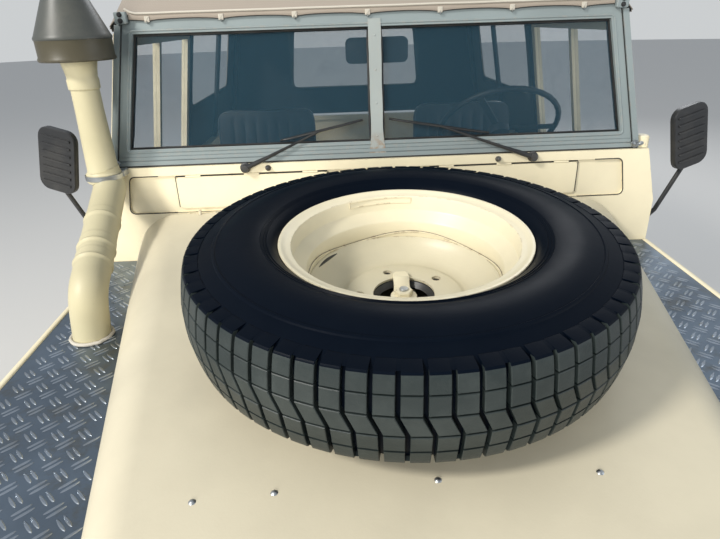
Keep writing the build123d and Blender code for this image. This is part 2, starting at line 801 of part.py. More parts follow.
def screen_half(v):
    """Half the windscreen frame's width at a height along its slope."""
    return WINDSCREEN_HALF - math.tan(math.radians(LEAN)) * v


def screen_slab(low, high, inset, depth):
    """A trapezium in the windscreen's own plane."""
    foot, head = screen_half(low) - inset, screen_half(high) - inset
    points = [(-foot, low), (foot, low), (head, high), (-head, high)]
    return extrude(make_face(Polyline(*points, close=True)), amount=depth / 2, both=True)


def screen_openings(clearance, depth):
    """The two glazed openings, each side of the middle post."""
    low, high = 46 + clearance, WINDSCREEN_HEIGHT - 44 - clearance
    opening = screen_slab(low, high, POST + clearance, depth)
    middle = 17 + clearance
    return opening - Box(2 * middle, 2000, 200)


def windscreen_frame():
    """The two-pane frame that stands on the scuttle."""
    foot = block((-HALF, HALF), (-700, 0), (0, BULKHEAD_TOP_Z + FIT))
    slab = screen_slab(-12, WINDSCREEN_HEIGHT, 0, FRAME_DEPTH)
    slab = fillet(slab.edges().filter_by(Axis.Z).sort_by(Axis.Y)[-2:], 45) - screen_openings(0, 200)
    return SCREEN * slab - foot


parts["windscreen_frame"] = windscreen_frame()
parts["windscreen_glass"] = SCREEN * screen_openings(FIT, GLASS)


def on_glass(z, off):
    """How far back the windscreen's outer face lies at a height, less a distance off it."""
    return BULKHEAD_Y + 30 + math.tan(math.radians(WINDSCREEN_RAKE)) * (z - BULKHEAD_TOP_Z) - GLASS / 2 - off


def wiper(x, tip_x):
    """A pivot on the scuttle with its arm and blade, parked along the foot of the glass."""
    pivot_z, heel_z, tip_z = 1362, 1429, 1478
    heel_x = tip_x + (x - tip_x) * 0.7
    pivot = rod((x, BULKHEAD_Y - FIT, pivot_z), (x, BULKHEAD_Y - 22, pivot_z), 13)
    middle = ((heel_x + tip_x) / 2, on_glass(1453, 10), 1453)
    arm = rod((x, BULKHEAD_Y - 16, pivot_z), middle, 4)
    blade = rod((heel_x, on_glass(heel_z, 6), heel_z), (tip_x, on_glass(tip_z, 6), tip_z), 5)
    return pivot + arm + blade


parts["wipers"] = wiper(-385, -40) + wiper(452, 36)


def mirror_arm():
    """A left mirror: bracket on the pillar, bent arm, knuckle and head."""
    foot = block((HALF + FIT, HALF + 8), (-486, -446), (1120, 1180))
    top = (HALF + 106, -480, 1362)
    arm = pipe([(HALF + 8 + FIT, -468, 1150), (HALF + 28, -470, 1172), top], 12, 7)
    knuckle_ball = Pos(*top) * Sphere(16)
    head = fillet(Box(115, 24, 185).edges().filter_by(Axis.Y), 34)
    head = Pos(HALF + 74, -496, 1402) * Rot(0, -14, 14) * head
    return foot + arm + knuckle_ball + head


parts["mirrors"] = across(mirror_arm())


# Bonnet with the spare wheel


def bonnet_section(y, inset, corner, low):
    """A cross-section of the bonnet: two sides, two round shoulders and a flat top."""
    half, top, r = bonnet_half(y) - inset, bonnet_z(y) - inset, corner - inset
    mid = r * (1 - math.cos(math.radians(45)))
    left = Line((-half, low), (-half, top - r))
    shoulder = ThreePointArc(left @ 1, (-half + mid, top - mid), (-half + r, top))
    crown = Line(shoulder @ 1, (half - r, top))
    other = ThreePointArc(crown @ 1, (half - mid, top - mid), (half, top - r))
    right = Line(other @ 1, (half, low))
    closing = Line(right @ 1, left @ 0)
    return Plane.XZ.offset(-y) * make_face(left + shoulder + crown + other + right + closing)


def bonnet():
    """The bonnet's tapering sheet with a lip at the front and the spare wheel's pan."""
    front, back = FRONT_Y, BONNET_REAR_Y
    low = [wing_z(y) + PLATE + 5 for y in (front, back)]
    outer = loft([bonnet_section(front, 0, 70, low[0]), bonnet_section(back, 0, 140, low[1])], ruled=True)
    t = BONNET_SHEET
    inner = loft([bonnet_section(front + 12, t, 71, 900), bonnet_section(back + 12, t, 141, 900)], ruled=True)
    cut = block((-900, 900), (front - 10, back + 50), (800, 1000))
    sheet = outer - inner - cut
    x = (HINGE_ARM_X - 30, HINGE_ARM_X + 30)
    arm = block(x, (back - 40, HINGE_Y), (HINGE_Z - 10, HINGE_Z + 10))
    arm += block(x, (back - 40, back - 8), (HINGE_Z, bonnet_z(back - 40) - 2))
    arm += rod((x[0], HINGE_Y, HINGE_Z), (x[1], HINGE_Y, HINGE_Z), 10)
    arm -= rod((x[0] - 1, HINGE_Y, HINGE_Z), (x[1] + 1, HINGE_Y, HINGE_Z), 5 + FIT)
    return sheet + across(arm)


SPARE_SEAT = Pos(0, SPARE_Y, bonnet_z(SPARE_Y)) * Rot(BONNET_SLOPE, 0, 0)
SPARE = SPARE_SEAT * Pos(0, 0, SPARE_GAP + TYRE_WIDTH / 2) * Rot(0, 90, 0) * Rot(SPARE_TURN, 0, 0)


def spare_carrier():
    """The dished pan on the bonnet, its clamp post, the clamp strip and its nut."""
    up = (Align.CENTER, Align.CENTER, Align.MIN)
    rise = SPARE_GAP + TYRE_WIDTH / 2 - DISC_OFFSET - 2 * FIT
    disc = Cylinder(170, 5, align=up)
    pan = Cone(150, 94, rise, align=up) - Cone(145, 89, rise - 5, align=up)
    post = Cylinder(11, rise + 46, align=up)
    top = rise + DISC_SHEET + 2 * FIT
    clamp = Pos(0, 0, top) * Box(30, 132, 8, align=up)
    nut = Pos(0, 0, top + 8) * extrude(RegularPolygon(19, 6), amount=15)
    return SPARE_SEAT * Pos(0, 0, FIT) * (disc + pan + post + clamp + nut)


parts["bonnet"] = bonnet()
parts["spare_tyre"] = SPARE * TYRE
parts["spare_wheel"] = SPARE * wheel_disc()
parts["spare_carrier"] = spare_carrier()


# Doors and tailgate


def door_top_plane():
    """The leaning plane of a left door top, X across, at the waist."""
    return Pos(HALF - 6, 0, WAIST_Z) * Rot(0, -LEAN, 0)


def door_top_outline(inset):
    """The side view of a door top, with its front edge along the windscreen post."""
    rake = math.tan(math.radians(WINDSCREEN_RAKE))
    front, back = DOOR_FRONT_Y, TUB_FRONT_Y - 4
    corner = BULKHEAD_TOP_Z - WAIST_Z
    top = DOOR_TOP_HEIGHT - inset
    start = inset if inset else -4
    return [
        (front + inset, start),
        (front + inset, corner - inset / 2),
        (front + inset + rake * (top - corner), top),
        (back - DOOR_GAP - inset, top),
        (back - DOOR_GAP - inset, start),
    ]


def door():
    """A left door: lower box with a flanged inner side, and a leaning glazed top."""
    front, back = DOOR_FRONT_Y, TUB_FRONT_Y - DOOR_GAP - 4
    outer = block((HALF - DOOR_THICKNESS, HALF), (front, back), (SILL_Z + 6, WAIST_Z - 4))
    room = block((HALF - DOOR_THICKNESS - 1, HALF - 6), (front + 60, back - 60), (SILL_Z + 70, WAIST_Z - 80))
    lower = outer - fillet(room.edges().filter_by(Axis.X), 30)
    frame = side_sheet(door_top_outline(0), (-24, 0)) - side_sheet(door_top_outline(34), (-40, 10))
    middle = block((-24, 0), (2, 26), (30, DOOR_TOP_HEIGHT - 30))
    for z in DOOR_HINGES_Z:
        strap = block((HALF - 1, HALF + 6), (DOOR_PIN_Y + 9, DOOR_PIN_Y + 90), (z - 22, z + 22))
        strap += block((HALF + 1, DOOR_PIN_X), (DOOR_PIN_Y, DOOR_PIN_Y + 12), (z - 22, z + 22))
        strap += rod((DOOR_PIN_X, DOOR_PIN_Y, z - 22), (DOOR_PIN_X, DOOR_PIN_Y, z + 22), 8)
        lower += strap - rod((DOOR_PIN_X, DOOR_PIN_Y, z - 30), (DOOR_PIN_X, DOOR_PIN_Y, z + 30), 4 + FIT)
    lower += block((HALF - 1, HALF + 5), (back - 130, back - 26), (1036, 1086))
    lower += rod((HALF + 4, back - 112, 1061), (HALF + 26, back - 112, 1061), 11)
    lower += block((HALF + 16, HALF + 27), (back - 124, back - 30), (1052, 1070))
    return lower + door_top_plane() * (frame + middle)


def door_glass():
    """The two sliding panes of a left door top."""
    sheet = side_sheet(door_top_outline(34 + FIT), (-14, -9))
    sheet -= block((-20, 0), (2 - FIT, 26 + FIT), (0, 700))
    return door_top_plane() * sheet


TAILGATE_HALF = 455
GATE_PIN_Y = TUB_REAR_Y + 10
GATE_PIN_Z = LOAD_FLOOR_Z - 34


def tailgate():
    """The drop-down tailgate with pressed ribs on its outer face."""
    gate = block((-TAILGATE_HALF, TAILGATE_HALF), (1708, 1738), (LOAD_FLOOR_Z - 24, WAIST_Z - 4))
    gate -= block((-TAILGATE_HALF + 24, TAILGATE_HALF - 24), (1700, 1732), (LOAD_FLOOR_Z + 4, WAIST_Z - 30))
    for x in (-300, -150, 0, 150, 300):
        gate += block((x - 16, x + 16), (1732, 1742), (LOAD_FLOOR_Z + 10, WAIST_Z - 50))
    for x in (-380, 380):
        gate += rod((x - 50, GATE_PIN_Y, GATE_PIN_Z), (x + 50, GATE_PIN_Y, GATE_PIN_Z), 8)
        gate += block((x - 50, x + 50), (GATE_PIN_Y - 8, GATE_PIN_Y), (GATE_PIN_Z, GATE_PIN_Z + 44))
        gate += block((x - 50, x + 50), (1736, GATE_PIN_Y - 8), (GATE_PIN_Z + 14, GATE_PIN_Z + 44))
        gate -= rod((x - 51, GATE_PIN_Y, GATE_PIN_Z), (x + 51, GATE_PIN_Y, GATE_PIN_Z), 4 + FIT)
    return gate


parts["door_left"] = door()
parts["door_right"] = on_right(door())
parts["door_glass_left"] = door_glass()
parts["door_glass_right"] = on_right(door_glass())
parts["tailgate"] = tailgate()


# Rear tub and tow hitch


def rear_tub():
    """The load tub: floor, sides with arches, wheel boxes, capping and rear corners."""
    front, back, t = TUB_FRONT_Y, TUB_REAR_Y, SKIN
    shell = block((-HALF, HALF), (front, back), (SILL_Z, WAIST_Z))
    bed = block((-HALF + t, HALF - t), (front + t, back - t), (LOAD_FLOOR_Z, WAIST_Z - 10))
    under = block((-HALF + t, HALF - t), (front - 1, back - t), (0, LOAD_FLOOR_Z - t))
    mouth = block((-HALF + 38, HALF - 38), (front + 38, back - t), (WAIST_Z - 11, WAIST_Z + 1))
    tub = shell - bed - under - mouth
    inner = HALF - WHEEL_BOX_WIDTH
    y = (REAR_AXLE_Y - 470, REAR_AXLE_Y + 470)
    wheel_box = block((inner, HALF - t), y, (LOAD_FLOOR_Z - t, 950))
    wheel_room = block((inner + t, HALF - t), (y[0] + t, y[1] - t), (0, 950 - t))
    tub = tub + across(wheel_box) - across(wheel_room)
    tub -= across(arch(REAR_AXLE_Y, (HALF - 50, HALF + 50)))
    tub -= across(block((HALF - 50, HALF + 50), (REAR_AXLE_Y + 400, back + 1), (0, 640)))
    gap = TAILGATE_HALF + 5
    tub -= block((-gap, gap), (1700, back + 1), (LOAD_FLOOR_Z - 30, WAIST_Z + 1))
    tub -= block((-HALF, HALF), (back - 60, back + 1), (0, TUB_SEAT_Z + FIT))
    tub += across(block((gap, gap + 6), (1690, back), (LOAD_FLOOR_Z - 4, WAIST_Z - 10)))
    edge = RAIL_X + RAIL_WIDTH / 2
    for y in (910, 1290):
        tub += block((-edge, edge), (y - 28, y + 28), (rail_top(y) + FIT, LOAD_FLOOR_Z - t))
    hinge = rod((380 - 66, GATE_PIN_Y, GATE_PIN_Z), (380 + 66, GATE_PIN_Y, GATE_PIN_Z), 4)
    for x in (380 - 66, 380 + 50 + FIT):
        end = x + 16 - FIT
        hinge += rod((x, GATE_PIN_Y, GATE_PIN_Z), (end, GATE_PIN_Y, GATE_PIN_Z), 8)
        hinge += block((x, end), (back - 2, GATE_PIN_Y), (GATE_PIN_Z - 40, GATE_PIN_Z))
    return tub + across(hinge)


TOW_BORE = 13


def tow_hitch():
    """A jaw hitch on the rear cross member, with the two bores that take a drawbar's pin."""
    plate = block((-75, 75), (1758 + FIT, 1768), (490, 590))
    jaw = block((-45, 45), (1768, 1820), (508, 572)) - block((-46, 46), (1774, 1821), (522, 558))
    return plate + jaw - rod((0, 1796, 400), (0, 1796, 690), TOW_BORE)


parts["rear_tub"] = rear_tub()
parts["tow_hitch"] = tow_hitch()


# Hood frame, canvas and its windows

VALANCE_Z = 1748
HOOD_BASE_HALF = HALF + FIT + HOOD_SHEET
HOOD_HEM_Z = WAIST_Z - 40
HOOD_FRONT_Y = on_glass(VALANCE_Z, (FRAME_DEPTH - GLASS) / 2 / math.cos(math.radians(WINDSCREEN_RAKE)))
ROOF_STATIONS = [
    # y, height of the crown, height of the roof's edge, how far the sides are tucked in
    (HOOD_FRONT_Y - FIT - HOOD_SHEET, 1774, 1771, 16),
    (-230, 1950, 1888, 8),
    (440, HOOD_TOP_Z, 1905, 0),
    (TUB_REAR_Y + FIT + HOOD_SHEET, 1955, 1892, 0),
]


def hood_side(z):
    """Half the hood's outer width at a height above the waist."""
    return HOOD_BASE_HALF - math.tan(math.radians(LEAN)) * (z - WAIST_Z)


def hood_section(y, crown, edge, tuck, inset):
    """A cross-section of the hood: hem, leaning sides, round corners and an arched roof."""
    base = HOOD_BASE_HALF - inset - tuck
    round_off = 70
    edge_z = edge - inset
    side = hood_side(edge_z - round_off) - inset - tuck
    top_z = crown - inset
    outline = [
        (-side, edge_z - round_off),
        (-base, WAIST_Z + 3),
        (-base, HOOD_HEM_Z),
        (base, HOOD_HEM_Z),
        (base, WAIST_Z + 3),
        (side, edge_z - round_off),
    ]
    sides = Polyline(*outline)
    corner_x = side - round_off * 0.8
    left = ThreePointArc((-side, edge_z - round_off), (-side + 18, edge_z - 22), (-corner_x, edge_z))
    right = ThreePointArc((side, edge_z - round_off), (side - 18, edge_z - 22), (corner_x, edge_z))
    roof = ThreePointArc((-corner_x, edge_z), (0, top_z), (corner_x, edge_z))
    return Plane.XZ.offset(-y) * make_face(sides + left + roof + right)


def hood_shell():
    """The whole canvas skin before its windows, open in front and over the doors."""
    outer = loft([hood_section(*station, 0) for station in ROOF_STATIONS], ruled=True)
    first, *middle, last = ROOF_STATIONS
    first = (first[0] + HOOD_SHEET, first[1] + 2, first[2] + 2, first[3])
    last = (last[0] - HOOD_SHEET, *last[1:])
    inner = loft([hood_section(*station, HOOD_SHEET) for station in (first, *middle, last)], ruled=True)
    skin = outer - inner
    door_room = block((-1000, 1000), (-600, TUB_FRONT_Y + 2), (1000, WAIST_Z + DOOR_TOP_HEIGHT))
    gap = TAILGATE_HALF + 8
    skin -= door_room
    skin -= block((-1000, 1000), (-600, -385), (1000, VALANCE_Z))
    skin -= block((-gap, gap), (1700, 1800), (1000, WAIST_Z + 6))
    return skin - block((-900, 900), (-600, TUB_REAR_Y - 60), (HOOD_HEM_Z - 5, HOOD_HEM_Z + FIT))


def window_prisms(clearance):
    """The cut-outs of the hood: one long window each side and one in the rear curtain."""
    c = clearance
    side = block((0, 900), (620 + c, 1520 - c), (1390 + c, 1715 - c))
    side = fillet(side.edges().filter_by(Axis.X), 40 - c)
    rear = block((-420 + c, 420 - c), (1650, 1800), (1340 + c, 1705 - c))
    rear = fillet(rear.edges().filter_by(Axis.Y), 40 - c)
    return [side, on_right(side), rear]


def canvas_hood():
    """The canvas with its windows cut."""
    skin = hood_shell()
    for prism in window_prisms(0):
        skin -= prism
    return skin


def hood_windows():
    """The clear panes that fill the cut-outs."""
    skin = hood_shell()
    panes = None
    for prism in window_prisms(FIT):
        pane = skin & prism
        panes = pane if panes is None else panes + pane
    return panes


def hood_frame():
    """Three hoops on the tub's capping, tied by a rail under the crown."""
    r = HOOP_TUBE
    foot_x, foot_z = HALF - 20, WAIST_Z + 2.6
    shoulder_z = 1822
    shoulder_x = foot_x - math.tan(math.radians(LEAN)) * (shoulder_z - WAIST_Z) - 5
    hoops = [
        # y, height of the tube's middle at the crown
        (470, 1914),
        (1090, 1907),
        (1712, 1900),
    ]
    frame = rod((0, *hoops[0]), (0, *hoops[-1]), r - 2)
    for y, roof_z in hoops:
        route = [(foot_x, y, foot_z), (shoulder_x, y, shoulder_z), (420, y, roof_z), (-1, y, roof_z)]
        half = pipe(route, 90, r)
        frame += across(half)
    return frame


parts["canvas_hood"] = canvas_hood()
parts["hood_windows"] = hood_windows()
parts["hood_frame"] = hood_frame()


# Raised air intake


def snorkel_pipe():
    """The painted intake: elbow on the wing, leaning run, elbow, and an upright run with collars."""
    base_z = wing_z(INTAKE_Y + PIPE_RADIUS) + PLATE + 2 * FIT
    low = (INTAKE_X, INTAKE_Y, base_z + 108)
    high = (INTAKE_TOP_X, INTAKE_TOP_Y, 1340)
    start = (INTAKE_X, INTAKE_Y, base_z)
    tube = pipe([start, low, high, (INTAKE_TOP_X, INTAKE_TOP_Y, 1400)], 40, PIPE_RADIUS)
    run = Vector(*high) - Vector(*low)
    for share in (0.3, 0.78):
        middle = Vector(*low) + run * share
        step = run.normalized() * 14
        tube += rod(middle - step, middle + step, PIPE_RADIUS + 4)
    for low_z, high_z, r0, r1 in UPRIGHT:
        cone = Cone(r0, r1 - 0.01, high_z - low_z, align=(Align.CENTER, Align.CENTER, Align.MIN))
        tube += Pos(INTAKE_TOP_X, INTAKE_TOP_Y, low_z) * cone
    clamp = block((INTAKE_TOP_X + 20, INTAKE_TOP_X + 66), (INTAKE_TOP_Y - 8, BULKHEAD_Y - FIT), (1346, 1366))
    return tube + clamp


def snorkel_cap():
    """The sheet-metal rain cap: a drum under a cone."""
    up = (Align.CENTER, Align.CENTER, Align.MIN)
    drum = Cylinder(93, 55, align=up)
    cone = Pos(0, 0, 55) * Cone(92, 46, 100, align=up)
    crown = Pos(0, 0, 155) * Cone(46, 20, 14, align=up)
    return Pos(INTAKE_TOP_X, INTAKE_TOP_Y, CAP_Z) * (drum + cone + crown)


parts["snorkel_pipe"] = snorkel_pipe()
parts["snorkel_cap"] = snorkel_cap()


os.makedirs("parts", exist_ok=True)
for name, part in parts.items():
    export_step(part, f"parts/{name}.step")
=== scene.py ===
# %% [markdown]
# # A light army 4x4 with a canvas hood
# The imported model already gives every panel, axle and hinge its true size and place, in metres, with the
# ground at Z = 0, the front of the car at -Y and the car's left-hand side at +X. This lesson dresses it:
# each cell adds one piece or one finish, says what it is on the real car, and prints what it made.

# %% Load the frame
import itertools
import json
import math

import bmesh
import bpy
from mathutils import Matrix, Vector, noise

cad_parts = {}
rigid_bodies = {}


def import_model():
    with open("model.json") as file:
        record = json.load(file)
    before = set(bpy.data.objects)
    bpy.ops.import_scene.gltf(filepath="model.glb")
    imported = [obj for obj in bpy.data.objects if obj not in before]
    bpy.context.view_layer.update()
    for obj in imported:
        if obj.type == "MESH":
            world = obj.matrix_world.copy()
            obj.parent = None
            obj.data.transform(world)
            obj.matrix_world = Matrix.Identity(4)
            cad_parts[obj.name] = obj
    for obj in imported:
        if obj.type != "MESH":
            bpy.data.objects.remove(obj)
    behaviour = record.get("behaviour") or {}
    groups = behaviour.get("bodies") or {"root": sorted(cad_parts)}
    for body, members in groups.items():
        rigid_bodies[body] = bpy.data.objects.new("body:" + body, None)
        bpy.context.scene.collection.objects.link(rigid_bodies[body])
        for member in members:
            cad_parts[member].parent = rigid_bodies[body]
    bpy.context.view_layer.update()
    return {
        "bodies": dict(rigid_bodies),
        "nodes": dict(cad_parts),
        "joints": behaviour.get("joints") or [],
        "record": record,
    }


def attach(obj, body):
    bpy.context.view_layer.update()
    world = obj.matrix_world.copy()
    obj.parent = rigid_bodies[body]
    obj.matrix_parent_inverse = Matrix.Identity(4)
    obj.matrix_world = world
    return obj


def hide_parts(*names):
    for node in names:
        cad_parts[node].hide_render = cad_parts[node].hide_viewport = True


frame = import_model()
nodes = frame["nodes"]

# %% [markdown]
# ## The car's main sizes
# These are the sizes that the pieces below share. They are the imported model's own, written here once, so
# that each piece lands on what carries it.

# %% Sizes in metres
WHEELBASE = 2.235
TRACK = 1.308
FRONT_AXLE_Y = -1.137
REAR_AXLE_Y = FRONT_AXLE_Y + WHEELBASE
TYRE_RADIUS = 0.391
TYRE_HALF_WIDTH = 0.0955
HALF = 0.838  # half the body's width
WAIST_Z = 1.165
BUMPER_Y, FRONT_Y, BULKHEAD_Y, HINGE_Y, REAR_Y = -1.810, -1.680, -0.500, -0.434, 1.740
BONNET_FRONT, BONNET_BACK = FRONT_Y, -0.528
BONNET_HALF = (0.453, 0.728)  # half its width at the front and at the back
LEVEL_Y, BONNET_Z, WING_Z = -1.168, 1.190, 1.070  # heights of the bonnet and the wings at one place
BONNET_SLOPE = math.radians(4.4)
WING_SLOPE = math.radians(1.2)
SCREEN_RAKE = math.radians(9.5)
SCREEN_SET, SCREEN_Z = 0.030, 1.372  # the foot of the glass, behind the bulkhead's face and above the ground
LEAN = math.radians(9.6)  # of the hood's sides and the windscreen's ends
SPARE_PLACE = Matrix.Translation((0, -1.167, 1.19008)) @ Matrix.Rotation(BONNET_SLOPE, 4, "X")
SPARE_GAP = 0.037  # between the bonnet and the spare tyre
SPARE_TURN = math.radians(37)
UP, BACK, FORTH = (0, 0, 1), (0, 1, 0), (0, -1, 0)
SIDES = (-1, 1)
print("wheelbase", WHEELBASE, "waist", WAIST_Z)

# %% [markdown]
# ## Sockets that read like sums
# Shader maths in Blender is a chain of Math nodes. Wrapping a socket in a small class and overloading
# its operators lets a mask be written as an expression, such as `1 - dirt * 0.4`, and builds the same
# chain. Colours go through Mix nodes instead, because a Math node keeps only one number of three.


# %% The socket class and the material class
def joined(operation, turned=False):
    """A method that joins two terms in a Math node; turned puts the socket second."""

    def method(self, other):
        terms = (other, self) if turned else (self, other)
        return self.look.node("ShaderNodeMath", {"operation": operation}, *terms)

    return method


class Value:
    """A node's output socket that can be used in sums."""

    __add__, __radd__ = joined("ADD"), joined("ADD", True)
    __sub__, __rsub__ = joined("SUBTRACT"), joined("SUBTRACT", True)
    __mul__ = joined("MULTIPLY")
    at_most, at_least = joined("MINIMUM"), joined("MAXIMUM")

    def __init__(self, look, socket):
        self.look, self.socket = look, socket

    def wave(self):
        return self.look.node("ShaderNodeMath", {"operation": "SINE"}, self)

    def ramp(self, low, high):
        """0 below low, 1 above high and straight between them."""
        return self.look.node("ShaderNodeMapRange", {"clamp": True}, self, low, high, 0.0, 1.0)


class Look:
    """A material being made: its node tree, its shader and the nodes that feed it."""

    def __init__(self, name, color, roughness, metallic=0.0, **fixed):
        self.material = bpy.data.materials.new(name)
        self.material.use_nodes = True
        self.tree = self.material.node_tree
        self.shader = self.tree.nodes["Principled BSDF"]
        self.set("Base Color", color)
        self.set("Roughness", roughness)
        self.set("Metallic", metallic)
        for socket, value in fixed.items():
            self.shader.inputs[socket.replace("_", " ").title()].default_value = value

    def _feed(self, socket, value):
        if isinstance(value, Value):
            self.tree.links.new(value.socket, socket)
        elif isinstance(value, (tuple, list)) and socket.type == "RGBA":
            socket.default_value = (*value[:3], 1.0)
        else:
            socket.default_value = value

    def node(self, kind, settings=None, *inputs, output=0, **named):
        """Any node: its settings are set first, then its sockets in order or by name."""
        made = self.tree.nodes.new(kind)
        for key, value in (settings or {}).items():
            setattr(made, key, value)
        for socket, value in zip(made.inputs, inputs):
            self._feed(socket, value)
        for name, value in named.items():
            self._feed(made.inputs[name], value)
        return Value(self, made.outputs[output])

    def set(self, socket, value):
        self._feed(self.shader.inputs[socket], value)

    def place(self):
        """Object coordinates in metres, which stay with the piece when it moves."""
        return self.node("ShaderNodeTexCoord", output="Object")

    def stretch(self, x, y, z):
        """Object coordinates with each axis scaled by itself."""
        settings = {"operation": "MULTIPLY"}
        return self.node("ShaderNodeVectorMath", settings, self.place(), (x, y, z))

    def axis(self, letter):
        """One coordinate of the place, in metres."""
        return self.node("ShaderNodeSeparateXYZ", None, self.place(), output=letter.upper())

    def noise(self, scale, detail=4.0, rough=0.55, at=None):
        named = {"Vector": at or self.place(), "Scale": scale, "Detail": detail, "Roughness": rough}
        return self.node("ShaderNodeTexNoise", None, **named)

    def cells(self, scale, at=None):
        return self.node("ShaderNodeTexVoronoi", None, Vector=at or self.place(), Scale=scale)

    def mix(self, mask, below, above):
        """One colour below and another above, by a mask."""
        made = self.tree.nodes.new("ShaderNodeMix")
        made.data_type = "RGBA"
        for socket, value in ((0, mask), (6, below), (7, above)):
            self._feed(made.inputs[socket], value)
        return Value(self, made.outputs[2])

    def facing_up(self):
        """1 where a surface faces the sky and 0 where it is upright."""
        normal = self.node("ShaderNodeNewGeometry", output="Normal")
        return self.node("ShaderNodeSeparateXYZ", None, normal, output="Z").ramp(0.2, 0.9)

    def edges(self, radius):
        """1 along sharp edges, where a rounded normal and the true one part."""
        round_normal = self.node("ShaderNodeBevel", {"samples": 4}, radius)
        flat_normal = self.node("ShaderNodeNewGeometry", output="Normal")
        settings = {"operation": "DOT_PRODUCT"}
        same = self.node("ShaderNodeVectorMath", settings, round_normal, flat_normal, output="Value")
        return ((1 - same) * 6.0).at_most(1.0)

    def bump(self, height, distance, strength):
        named = {"Height": height, "Distance": distance, "Strength": strength}
        self.set("Normal", self.node("ShaderNodeBump", None, **named))

    def done(self):
        return self.material


print("socket and material classes ready")

# %% [markdown]
# ## Paint
# The body is brushed and sprayed sand paint over aluminium: a warm cream, matt rather than glossy, with
# faint clouding from hand polishing, a film of dust where it faces the sky, darker grime low down, and
# small chips along the panel edges where the primer shows. One function makes all the paints, with the
# wear as its settings.


# %% Paint finishes
SAND_CHIP, STEEL_CHIP = (0.20, 0.17, 0.13), (0.12, 0.06, 0.03)
RED_CHIP, GREY_CHIP = (0.19, 0.10, 0.05), (0.36, 0.31, 0.26)
SAND_DUST, ROAD_DUST = (0.52, 0.46, 0.34), (0.20, 0.16, 0.11)
GRIME, RUST_RUN = (0.16, 0.13, 0.09), (0.26, 0.17, 0.10)


def paint(name, color, roughness, wear, chip=SAND_CHIP, dust=SAND_DUST, rust=None):
    """A coat of paint with its wear; rust gives the heights between which it fades out upwards."""
    look = Look(name, color, roughness)
    shade = tuple(c * 0.86 for c in color)
    cloud = look.noise(3.5, 5.0)
    body = look.mix(cloud.ramp(0.38, 0.68), color, shade)
    film = look.facing_up() * look.noise(9.0, 6.0, 0.7).ramp(0.45, 0.8) * (0.35 * wear)
    body = look.mix(film, body, dust)
    low = look.axis("z").ramp(0.75, 0.35) * look.noise(14.0, 6.0).ramp(0.35, 0.65) * (0.55 * wear)
    body = look.mix(low, body, GRIME)
    if rust:
        bled = look.axis("z").ramp(rust[1], rust[0]) * look.noise(70.0, 6.0, 0.7).ramp(0.42, 0.58)
        body = look.mix(bled * 0.85, body, RUST_RUN)
    chips = (look.edges(0.004) * look.noise(60.0, 3.0).ramp(0.52, 0.60)) * (0.8 * wear)
    specks = look.cells(26.0).ramp(0.045, 0.02) * look.noise(5.0).ramp(0.55, 0.7) * wear
    marks = chips.at_least(specks * 0.7)
    look.set("Base Color", look.mix(marks, body, chip))
    look.set("Roughness", roughness + film * 0.5 + (cloud - 0.5) * 0.12)
    look.bump(look.noise(220.0, 2.0) * 0.25 + look.noise(7.0, 3.0) - marks * 0.6, 0.0012, 0.35)
    return look.done()


body_paint = paint("sand_paint", (0.865, 0.780, 0.560), 0.40, 0.5)
bonnet_paint = paint("bonnet_sand_paint", (0.620, 0.565, 0.425), 0.42, 0.6)
wheel_paint = paint("wheel_sand_paint", (0.760, 0.690, 0.500), 0.34, 0.8, chip=RED_CHIP)
# The spare's disc: a darker sand as painted shade where the rim's shadow falls into the dish, with heavy dust
# and chips.
dish_shade_paint = paint("dish_shade_sand_paint", (0.610, 0.560, 0.410), 0.38, 0.9, chip=RED_CHIP)
intake_paint = paint("intake_sand_paint", (0.540, 0.490, 0.320), 0.46, 0.7)
screen_paint = paint("screen_grey_paint", (0.240, 0.283, 0.288), 0.45, 0.9, chip=GREY_CHIP)
post_paint = paint("post_grey_paint", (0.320, 0.352, 0.342), 0.50, 0.9, chip=GREY_CHIP, rust=(1.40, 1.45))
# Dark blue-grey for the cab floor and dash: painted shade inside the cab.
cab_shade_paint = paint("cab_shade_grey_paint", (0.110, 0.145, 0.175), 0.50, 0.5)
chassis_paint = paint("chassis_black_paint", (0.026, 0.026, 0.027), 0.48, 0.9, STEEL_CHIP, ROAD_DUST)
cap_paint = paint("cap_grey_paint", (0.060, 0.064, 0.058), 0.42, 0.6)
band_paint = paint("cap_olive_paint", (0.064, 0.056, 0.034), 0.40, 0.5)
print("paints made")

# %% [markdown]
# ## Metal, rubber, glass and canvas
# Bare metals carry their look in roughness: cast iron is dark and grainy, zinc coating is pale with soft
# spangles, and the chequer plate is mill aluminium with fine scratches along its length, darkened as
# painted shade and tinted blue as a painted reflection of the sky, with paler raised bars as painted
# glints. Rubber is nearly black with a slight bloom, and the sidewalls are tinted blue as a painted
# reflection of the sky. Glass is a clear shader with a faint blue-green tint and a little dust; the
# windscreen's stronger blue is a painted reflection of the sky.


# %% Metals
def metal(name, color, roughness, grain, scratch=(1, 1, 1), stain=None):
    look = Look(name, color, roughness, 1.0)
    spangle = look.cells(grain, at=look.stretch(*scratch))
    cloud = look.noise(6.0, 5.0)
    tint = look.mix(cloud.ramp(0.35, 0.7), color, tuple(c * 0.72 for c in color))
    if stain:
        tint = look.mix(look.noise(18.0, 8.0, 0.7).ramp(0.52, 0.72) * 0.8, tint, stain)
    look.set("Base Color", tint)
    look.set("Roughness", roughness + (cloud - 0.5) * 0.3 + spangle * 0.08)
    look.bump(look.noise(grain * 3, 3.0, at=look.stretch(*scratch)), 0.0004, 0.3)
    return look.done()


